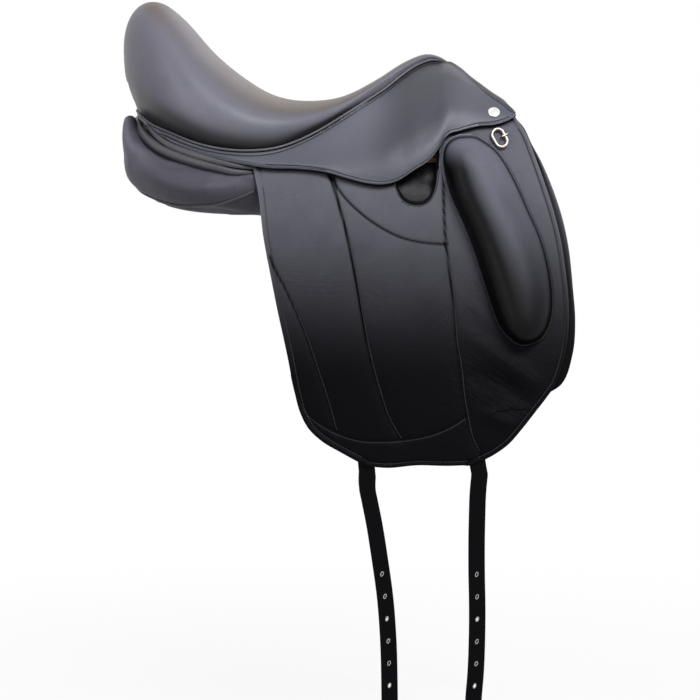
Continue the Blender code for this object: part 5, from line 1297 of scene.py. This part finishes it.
def build_flaps():
    """The outer and inner flaps, the outer one's stitches and its recess's binding."""
    outer, outer_marks = outer_flap()
    inner, inner_marks = sweat_flap()
    recess = path(FLAP_RECESS[1:-1])(np.linspace(0, 1, 60))
    rim = on_flap(recess[:, 0], recess[:, 1], FLAP_LEATHER * 0.35)
    for word, side in SIDES:
        bend = flap_bend(side, word)
        flap = leather_sheet(f"flap_leather_{word}", placed(outer, side), FLAP_LEATHER, flap_leather,
                             (0, side, 0), outer_marks)
        cut(flap, FLAP_RECESS, side)
        finish(flap, replaces=(f"flap_{word}", f"flap_corner_{word}"), bend=bend)
        rows = [flap_row(line, side, offset, *ends) for line, _, _, offset, *ends in FLAP_SEAMS]
        rows += [flap_row(line, side, border * way, *ends) for line, border, way, *ends in FLAP_BORDERS]
        finish(stitch_rows(f"flap_stitches_{word}", rows), bend=bend)
        sweat = leather_sheet(f"sweat_flap_leather_{word}", placed(inner, side), SWEAT_LEATHER,
                              flap_leather, (0, side, 0), inner_marks)
        cut(sweat, SWEAT_RECESS, side)
        finish(sweat, replaces=(f"sweat_flap_{word}",))
        binding = tube(f"recess_binding_{word}", placed(rim, side), PIPING_RADIUS, edge_leather, around=8)
        # painted shade: the binding is darkened where it lies in the recess under the skirt
        finish(binding, tone=0.20)


# The knee blocks

def build_blocks():
    """The knee blocks: each a raised pad with a thin sewn margin round it."""
    s = np.clip((1 - np.cos(np.linspace(0.0, math.pi, 90))) / 2, 0.0006, 0.9994)
    rear, front = BLOCK_REAR(s), BLOCK_FRONT(s)
    width = np.linalg.norm(front - rear, axis=1)
    c = (1 - np.cos(np.linspace(0, math.pi, 61))) / 2
    c = 0.55 * c + 0.45 * np.linspace(0, 1, 61)
    margin = np.minimum(BLOCK_MARGIN, width * 0.45)
    inner = (c[None] * width[:, None] - margin[:, None]) / np.maximum(width - 2 * margin, 1e-5)[:, None]
    inner = np.clip(inner, 0, 1)
    ends = np.clip((s * BLOCK_LENGTH - BLOCK_MARGIN) / (BLOCK_LENGTH - 2 * BLOCK_MARGIN), 0, 1)
    height = BLOCK_HEIGHT * np.maximum(1 - np.abs(2 * ends - 1) ** 5.0, 0) ** 0.5
    before, behind = (BLOCK_RIDGE - inner) / BLOCK_RIDGE, (inner - BLOCK_RIDGE) / (1 - BLOCK_RIDGE)
    rise = height[:, None] * np.maximum(1 - np.maximum(before, behind) ** 2.3, 0.0) ** 0.6
    flat = rear[:, None] + (front - rear)[:, None] * c[None, :, None]
    outline = np.vstack([BLOCK_REAR(np.linspace(0, 1, 90)), BLOCK_FRONT(np.linspace(1, 0, 90))])
    edge, _ = off_line(flat, outline)
    wall = 1 - np.clip((edge - BLOCK_MARGIN) / BLOCK_WALL, 0, 1)
    wall = np.maximum(BLOCK_HEIGHT * np.sqrt(np.maximum(1 - wall ** 2, 0)), 1e-5)
    rise = (np.maximum(rise, 1e-5) ** -5.0 + wall ** -5.0) ** -0.2
    x, z = flat[..., 0], flat[..., 1]
    flange = LAYER_GAP + BLOCK_FLANGE
    grid = smoothed(stack(x, flap_half_width(x, z) + flange + rise, z), 2)
    # the rubbed edge is paler, and shade is painted into the groove at the foot of the raised pad
    tone = 0.5 + 0.30 * bell(edge, 0.0014) - 0.40 * bell(edge - BLOCK_MARGIN - 0.0003, 0.0014)
    # painted shade on the block's rear flank; the block is also a little darker all over and darker towards
    # its foot
    painted_flank_shade = (1 - ease(inner, 0.18, 0.70)) * ease(edge, 0.003, 0.006) * ease(s, 0.07, 0.24)[:, None]
    tone -= 0.46 * painted_flank_shade + 0.05 + 0.30 * ease(s, 0.50, 0.92)[:, None]

    at = path(outline)(np.linspace(0, 1, 260))
    step = unit(np.gradient(at, axis=0))
    at = at + np.stack([-step[:, 1], step[:, 0]], axis=-1) * BLOCK_STITCH_INSET
    thread_points = on_flap(at[:, 0], at[:, 1], -flange)
    thread_normals = unit(np.tile(np.array([[0.15, 1.0, 0.2]]), (len(at), 1)))
    for word, side in SIDES:
        block = leather_sheet(f"knee_block_leather_{word}", placed(grid, side), BLOCK_FLANGE, block_leather,
                              (0, side, 0), {"tone": tone})
        finish(block, replaces=(f"knee_block_{word}",))
        rows = [(placed(thread_points, side), placed(thread_normals, side))]
        finish(stitch_rows(f"knee_block_stitches_{word}", rows))


# The panels

def simulate(pad, pinned, frames=20, pressure=4.0, cap=0.004):
    """Puffs a closed pad up with a little air, with some of its points held, and caps how far it swells."""
    before = points_of(pad)
    group = pad.vertex_groups.new(name="held")
    group.add([int(i) for i in np.flatnonzero(pinned)], 1.0, "REPLACE")
    cloth = pad.modifiers.new("cloth", "CLOTH")
    cloth.settings.quality = 5
    cloth.settings.mass = 0.3
    cloth.settings.tension_stiffness = 25
    cloth.settings.compression_stiffness = 25
    cloth.settings.bending_stiffness = 2.0
    cloth.settings.vertex_group_mass = "held"
    cloth.settings.use_pressure = True
    cloth.settings.uniform_pressure_force = pressure
    cloth.settings.effector_weights.gravity = 0.0
    cloth.collision_settings.use_collision = False
    cloth.point_cache.frame_start = 1
    cloth.point_cache.frame_end = frames
    scene = bpy.context.scene
    for number in range(1, frames + 1):
        scene.frame_set(number)
    applied(pad)
    scene.frame_set(1)
    after = points_of(pad)
    moved = after - before
    far = np.linalg.norm(moved, axis=1, keepdims=True)
    move_points(pad, before + moved * np.minimum(1.0, cap / np.maximum(far, 1e-9)))
    pad.vertex_groups.clear()


def build_panels():
    """The two flocked panels: one is puffed up as cloth, and the other is its mirror image."""
    pad = evened("panel_right", "panel_leather_right", panel_leather, PANEL_MESH, 3)
    at = points_of(pad)
    seam = placed(PANEL_SEAM(np.linspace(0, 1, 60)), RIGHT)
    away, _ = off_line(at, seam)
    under_tree = (at[:, 2] > tree_height(at[:, 0], at[:, 1]) - 0.022) & (np.abs(at[:, 1]) < 0.125)
    inner = np.abs(at[:, 1]) < 0.036
    simulate(pad, under_tree | inner | (away < 0.004))
    fine = pad.modifiers.new("fine", "SUBSURF")
    fine.levels = 1
    fine.render_levels = 1
    applied(pad)
    pad.data.shade_smooth()
    at, normal = points_of(pad), points_of(pad, "normal")
    away, _ = off_line(at, seam)
    x, w, z = at[:, 0], np.abs(at[:, 1]), at[:, 2]
    full = ease(w, 0.040, 0.070) * (1 - ease(z, 0.030, 0.060)) * PANEL_FULL
    at = at + normal * (full - 0.0022 * bell(away, 0.0035))[:, None]
    horn = ease(z, 0.045, 0.100) * ease(-x, 0.225, 0.262)
    at += normal * (PANEL_HORN * 0.6 * horn)[:, None]
    at[:, 2] += PANEL_HORN * horn
    move_points(pad, at)
    below = at[:, 2] < np.interp(at[:, 0], seam[:, 0], seam[:, 2])
    outer = (np.abs(at[:, 1]) > 0.07) & (at[:, 0] < -0.10)
    # painted shade in the piping seam's groove and on the outer rear panel just under that seam
    tone = 0.5 - 0.35 * bell(away, 0.0030) - 0.12 * (below & outer & (away < 0.04))
    # painted shade on the front of the panel, where it lies behind the flaps and shows through the recess
    tone -= 0.46 * ease(x, 0.005, 0.030) * (1 - ease(x, 0.130, 0.150)) * ease(z, -0.060, -0.030)
    attribute(pad, "tone", tone)
    mirrored = new_object("panel_leather_left", pad.data.copy())
    mirrored.data.transform(Matrix.Scale(-1, 4, (0, 1, 0)))
    mirrored.data.flip_normals()
    for obj, (word, side) in zip((pad, mirrored), SIDES):
        finish(obj, replaces=(f"panel_{word}",))
        faces = [list(face.vertices) for face in obj.data.polygons]
        surface = BVHTree.FromPolygons([point.co for point in obj.data.vertices], faces)
        line = []
        for point in placed(PANEL_SEAM(np.linspace(0, 1, 70)), side):
            near, facing, _, _ = surface.find_nearest(Vector(point))
            line.append(near + facing * LAYER_GAP)
        line = smoothed(np.array(line)[:, None], 4, across=False)[:, 0]
        piping = tube(f"panel_piping_{word}", line, PIPING_RADIUS, edge_leather, around=8)
        finish(piping, tone=0.55)


def build_rolls():
    """The rolled strips between the seat and the panels, thinner towards their ends."""
    s = np.linspace(0, 1, 90)[::-1]
    taper = 0.35 + 0.65 * np.minimum(1.0, s / 0.26) ** 0.6
    for name, line, radius in CANTLE_ROLLS:
        radii = np.concatenate([taper[::-1], taper[1:]]) * radius
        roll = tube(f"{name}_leather", across_middle(line(s)), radii, edge_leather, around=20)
        finish(roll, replaces=(name,))


def build_gusset():
    """The leather behind the rolled strips, from under the skirts' rear to the panels' tops."""
    s = np.linspace(1, 0.02, 90)
    top, foot = ROLL_UPPER(s) + GUSSET_TOP, ROLL_LOWER(s) + GUSSET_FOOT
    half = top[:, None] + (foot - top)[:, None] * np.linspace(0, 1, 12)[None, :, None]
    half[..., 1] = np.maximum(half[..., 1], 0.0)
    half[..., 0] += 0.010 * ease(s, 0.70, 1.0)[:, None]
    half[0, :, 1] = 0.0
    grid = smoothed(across_middle(half), 2)
    gusset = leather_sheet("rear_gusset_leather", grid, SWEAT_LEATHER, panel_leather, REARWARD)
    # painted shade: the gusset is darkened, lying deep behind the rolled strips
    finish(gusset, tone=0.22)


def build_pommel():
    """The facing under the pommel's edge, and the binding along it."""
    s = np.linspace(0, 1, 60)
    x = POMMEL_START_X + (FACING_END_X - POMMEL_START_X) * s
    w, z = np.moveaxis(POMMEL_EDGE(x), -1, 0)
    edge = stack(x + 0.0010, (w - 0.0020) * np.minimum(1.0, s * 8), z - SKIRT_LEATHER - 0.0008)
    half = edge[:, None] + (FACING_INNER(s) - edge)[:, None] * np.linspace(0, 1, 14)[None, :, None]
    half[0, :, 1] = 0.0
    grid = smoothed(across_middle(half), 3)
    facing = leather_sheet("pommel_facing_leather", grid, FACING_LEATHER, skirt_leather, FORWARD)
    finish(facing, tone=0.45, replaces=("pommel_facing",))

    x = np.linspace(0.1235, FACING_END_X + 0.0070, 70)
    edge = stack(x, *np.moveaxis(POMMEL_EDGE(x), -1, 0)) - (0, 0, 0.0022)
    half = path([(0.1322, 0.0, 0.1585), (0.1302, 0.012, 0.1640), *edge[2:]])(np.linspace(0, 1, 90))
    radius = POMMEL_BINDING_RADIUS * np.minimum(1.0, np.linspace(1, 0.02, 90) / 0.10) ** 0.6
    radius = [*radius[::-1], *radius[1:]]
    binding = tube("pommel_binding", across_middle(half), radius, edge_leather, around=12)
    finish(binding, tone=0.56)


def build_studs():
    """The plain domed studs on the skirts."""
    share, step = skirt_share(STUD_X, STUD_Z), 0.002
    at = on_skirt(STUD_X, share)
    along = on_skirt(STUD_X + step, skirt_share(STUD_X + step, STUD_Z)) - at
    normal = unit(np.cross(along, on_skirt(STUD_X, share + 0.02) - at))
    normal = normal * np.sign(normal[1])
    # radius and height of each ring, from the crown out
    profile = ((0.0030, 0.0025), (0.0056, 0.0020), (0.0061, 0.0017), (0.0066, 0.0019), (0.0073, 0.0015),
               (STUD_RADIUS, 0.0006), (STUD_RADIUS, -0.0003))
    crown, sunk = 0.0026, 0.0004
    turn = np.linspace(0, 2 * math.pi, 40, endpoint=False)[:, None]
    for word, side in SIDES:
        n = placed(normal, side)
        u = unit(np.cross(n, [0.0, 0.0, 1.0]))
        v = np.cross(n, u)
        centre = placed(at, side) + n * sunk
        rings = [centre + h * n + r * (np.cos(turn) * u + np.sin(turn) * v) for r, h in profile]
        points = np.vstack([*rings, [centre + crown * n], [centre - n * sunk]])
        faces = capped_rings(len(rings), len(turn))
        stud = face_out(mesh_piece(f"pommel_stud_dome_{word}", points, faces, bright_nickel))
        finish(stud, replaces=(f"pommel_stud_{word}",))


# The dee rings

def build_rings():
    """The rings below the studs, each on its staple."""
    lean = np.array([math.sin(RING_LEAN), 0.0, -math.cos(RING_LEAN)])
    across = np.array([math.cos(RING_LEAN), 0.0, math.sin(RING_LEAN)])
    straight = (RING_LENGTH - RING_WIDTH) / 2
    bend = RING_WIDTH / 2 - RING_WIRE
    step = 0.004
    base = on_flap(RING_X, RING_Z)
    slope_x = (flap_half_width(RING_X + step, RING_Z) - base[1]) / step
    slope_z = (flap_half_width(RING_X, RING_Z + step) - base[1]) / step

    def lifted(point, height):
        rise = slope_x * (point[0] - RING_X) + slope_z * (point[2] - RING_Z)
        return np.array([point[0], base[1] + rise + height, point[2]])

    centre = np.array([RING_X, 0.0, RING_Z])
    outline = []
    for end in (1, -1):
        for turn in np.linspace(0, math.pi, 28):
            along = lean * end * (straight + bend * math.sin(turn))
            outline.append(lifted(centre + along + across * end * bend * math.cos(turn), RING_STAND_OFF))
    hinge = centre + across * bend
    reach = RING_WIRE + STAPLE_WIRE + 0.0006
    loop = [lifted(hinge - across * reach, STAPLE_WIRE + LAYER_GAP)]
    for angle in np.linspace(0, math.pi, 22):
        point = hinge - across * reach * math.cos(angle)
        loop.append(lifted(point, RING_STAND_OFF + reach * math.sin(angle)))
    loop.append(lifted(hinge + across * reach, STAPLE_WIRE + LAYER_GAP))
    for word, side in SIDES:
        ring = tube(f"dee_ring_wire_{word}", placed(outline, side), RING_WIRE, nickel, 14, closed=True)
        finish(ring, f"dee_ring_{word}", replaces=(f"dee_ring_{word}",))
        staple = tube(f"dee_staple_wire_{word}", placed(loop, side), STAPLE_WIRE, bright_nickel, around=10)
        finish(staple, replaces=(f"dee_staple_{word}",))


# The girth straps

def build_straps():
    """Each strap in one piece, from between the flaps to its tip, with its punched holes."""
    deep = FLAP_LEATHER + LAYER_GAP
    share = np.linspace(-1, 1, 13)
    turn = np.linspace(0, 2 * math.pi, 16, endpoint=False)
    # a punched hole is a slanted oval
    oval = np.stack([0.72 * np.cos(turn) + 0.30 * np.sin(turn), 1.25 * np.sin(turn)], axis=-1)
    holes = STRAP_END_Z + STRAP_FIRST_HOLE + STRAP_HOLE_PITCH * np.arange(STRAP_HOLES)
    for place, strap in STRAPS.items():
        (top_x, top_z), (foot_x, foot_z) = strap["top"], strap["foot"]
        hang = float(flap_half_width(foot_x, foot_z)) - deep - STRAP_LEATHER / 2
        z_upper = np.linspace(top_z, foot_z, 90)
        x_upper = top_x + (foot_x - top_x) * (z_upper - top_z) / (foot_z - top_z)
        z_lower = np.arange(foot_z - 0.004, STRAP_END_Z + 0.003, -0.004)
        z_lower = np.append(z_lower, STRAP_END_Z + np.array([0.0022, 0.0010, 0.0004, 0.0]))
        z = np.concatenate([z_upper, z_lower])
        tip = np.clip((STRAP_END_Z + STRAP_TIP - z) / STRAP_TIP, 0, 1)
        width = STRAP_WIDTH / 2 * np.maximum(1 - tip ** 2.6, 0.02) ** 0.62
        edge = width[:, None] * (1 - np.abs(share[None]))
        relief = -0.0004 * bell(edge - 0.0026, 0.0008)
        tone = 0.5 + 0.22 * bell(edge, 0.0015)
        for word, side in SIDES:
            name = f"girth_strap_{place}_{word}"
            line = Curve(sorted((-z, x) for z, x in strap[word]))
            grid_x = np.concatenate([x_upper, line(-z_lower)])[:, None] + width[:, None] * share[None]
            grid_z = np.broadcast_to(z[:, None], grid_x.shape)
            upper_w = flap_half_width(grid_x, np.maximum(grid_z, foot_z)) - deep
            tucked = ease(grid_z, foot_z - 0.002, foot_z + 0.045)
            grid_w = upper_w * tucked + (hang + STRAP_LEATHER / 2) * (1 - tucked)
            grid = stack(grid_x, grid_w + relief, grid_z)
            body = leather_sheet(f"{name}_leather", placed(grid, side), STRAP_LEATHER, strap_leather,
                                 (0, side, 0), {"tone": tone})
            for number, height in enumerate(holes, 1):
                outline = oval * STRAP_HOLE_RADIUS + (float(line(-height)), height)
                cut(body, outline.tolist(), side)
                rim = placed(stack(outline[:, 0], hang + STRAP_LEATHER / 2 - 0.0001, outline[:, 1]), side)
                rim = tube(f"{name}_hole_rim_{number}", rim, HOLE_RIM_RADIUS, raw_leather, 6, closed=True)
                finish(rim, name)
            hinge = np.array([float(line(-STRAP_HINGE_Z)), hang, STRAP_HINGE_Z])
            reach = np.array([0, 0, STRAP_BEND])
            bend = "saddle", name, placed(hinge + reach, side), placed(hinge - reach, side)
            finish(body, replaces=(name, f"{name}_upper"), bend=bend)


def build_webbing():
    """The linen webbing over the middle of the tree, as three bands side by side."""
    x = np.linspace(WEBBING_REAR_X, WEBBING_FRONT_X, 80)[:, None]
    for number, (low, high) in enumerate(WEBBING_BANDS, 1):
        y = np.linspace(low, high, 9)[None]
        grid = stack(x, y, tree_height(x, y) + WEBBING_LIFT)
        band = leather_sheet(f"webbing_band_{number}", grid, WEBBING_THICKNESS, linen, UP)
        # the middle band stands for the record's webbing
        finish(band, replaces=("seat_webbing",) if number == 2 else ())


def dress_nodes():
    """Better materials for the CAD nodes whose shape is right."""
    looks = {"tree_frame": beech, "head_plate": steel, "gullet_plate": steel, "cantle_plate": steel}
    for name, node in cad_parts.items():
        look = looks.get(name)
        if look is None and name.startswith(("stirrup_bar", "bar_", "catch_pin")):
            look = steel
        if look is not None:
            for slot in node.material_slots:
                slot.material = look


# The studio

def build_camera():
    """The photo's camera."""
    camera = bpy.data.cameras.new("photo_camera")
    camera.lens = CAMERA_DISTANCE * CAMERA_SENSOR / VIEW_WIDTH
    camera.sensor_width = CAMERA_SENSOR
    seen = new_object("photo_camera", camera)
    turn, rise = math.radians(CAMERA_AZIMUTH), math.radians(CAMERA_ELEVATION)
    back = Vector((math.sin(turn) * math.cos(rise), -math.cos(turn) * math.cos(rise), math.sin(rise)))
    seen.location = Vector(CAMERA_TARGET) + back * CAMERA_DISTANCE
    seen.rotation_euler = (-back).to_track_quat("-Z", "Y").to_euler()
    bpy.context.scene.camera = seen


def build_floor():
    """A floor that looks white to the camera and still takes the saddle's shadow."""
    corners = [(x * FLOOR_REACH, y * FLOOR_REACH, FLOOR_Z) for x, y in ((-1, -1), (1, -1), (1, 1), (-1, 1))]
    mesh = bpy.data.meshes.new("studio_floor")
    mesh.from_pydata(corners, [], [(0, 1, 2, 3)])
    floor = new_object("studio_floor", mesh)
    look = Look("studio_white", Base_Color=(0.80, 0.80, 0.80), Roughness=0.9)
    glow = look.node("ShaderNodeEmission", {}, {"Color": WHITE, "Strength": 1.0})
    place = look.node("ShaderNodeTexCoord", {}, {}, "Object")
    far = look.node("ShaderNodeVectorMath", {"operation": "LENGTH"}, {0: place}, "Value")
    look.mix_shaders(look.shown_white() * (0.90 + 0.10 * far.between(0.5, 1.6)), glow)
    mesh.materials.append(look.material)


def build_room():
    """The room: dim below, brighter above and warm behind the saddle, and white where it shows."""
    world = bpy.data.worlds.new("studio_room")
    bpy.context.scene.world = world
    room = Nodes(world, "Background", "World Output")
    direction = room.node("ShaderNodeTexCoord", {}, {}, "Generated")
    height = room.node("ShaderNodeSeparateXYZ", {}, {"Vector": direction}, "Z")
    depth = room.node("ShaderNodeSeparateXYZ", {}, {"Vector": direction}, "Y")
    colour = room.mix(height.between(-0.10, 0.95, "LINEAR"), ROOM_LOW, ROOM_HIGH)
    colour = room.mix(depth.between(-0.1, 0.7, "LINEAR"), colour, ROOM_BEHIND)
    room.set(room.shader, {"Color": colour, "Strength": 1.0})
    white = room.node("ShaderNodeBackground", {}, {"Color": WHITE, "Strength": 1.0})
    room.mix_shaders(room.shown_white(), white)


def build_lamps():
    """The softboxes, all at a plain level."""
    for name, place, aim, size, power, colour in LAMPS:
        light = bpy.data.lights.new(name, "AREA")
        light.shape = "RECTANGLE"
        light.size, light.size_y = size
        light.energy = power
        light.color = colour
        lamp = new_object(name, light)
        lamp.location = place
        lamp.rotation_euler = (Vector(aim) - Vector(place)).to_track_quat("-Z", "Y").to_euler()


build_seat()
build_skirts()
build_flaps()
build_blocks()
build_panels()
build_rolls()
build_gusset()
build_pommel()
build_studs()
build_rings()
build_straps()
build_webbing()
dress_nodes()
build_camera()
build_floor()
build_room()
build_lamps()
bpy.context.scene.view_settings.view_transform = "Standard"
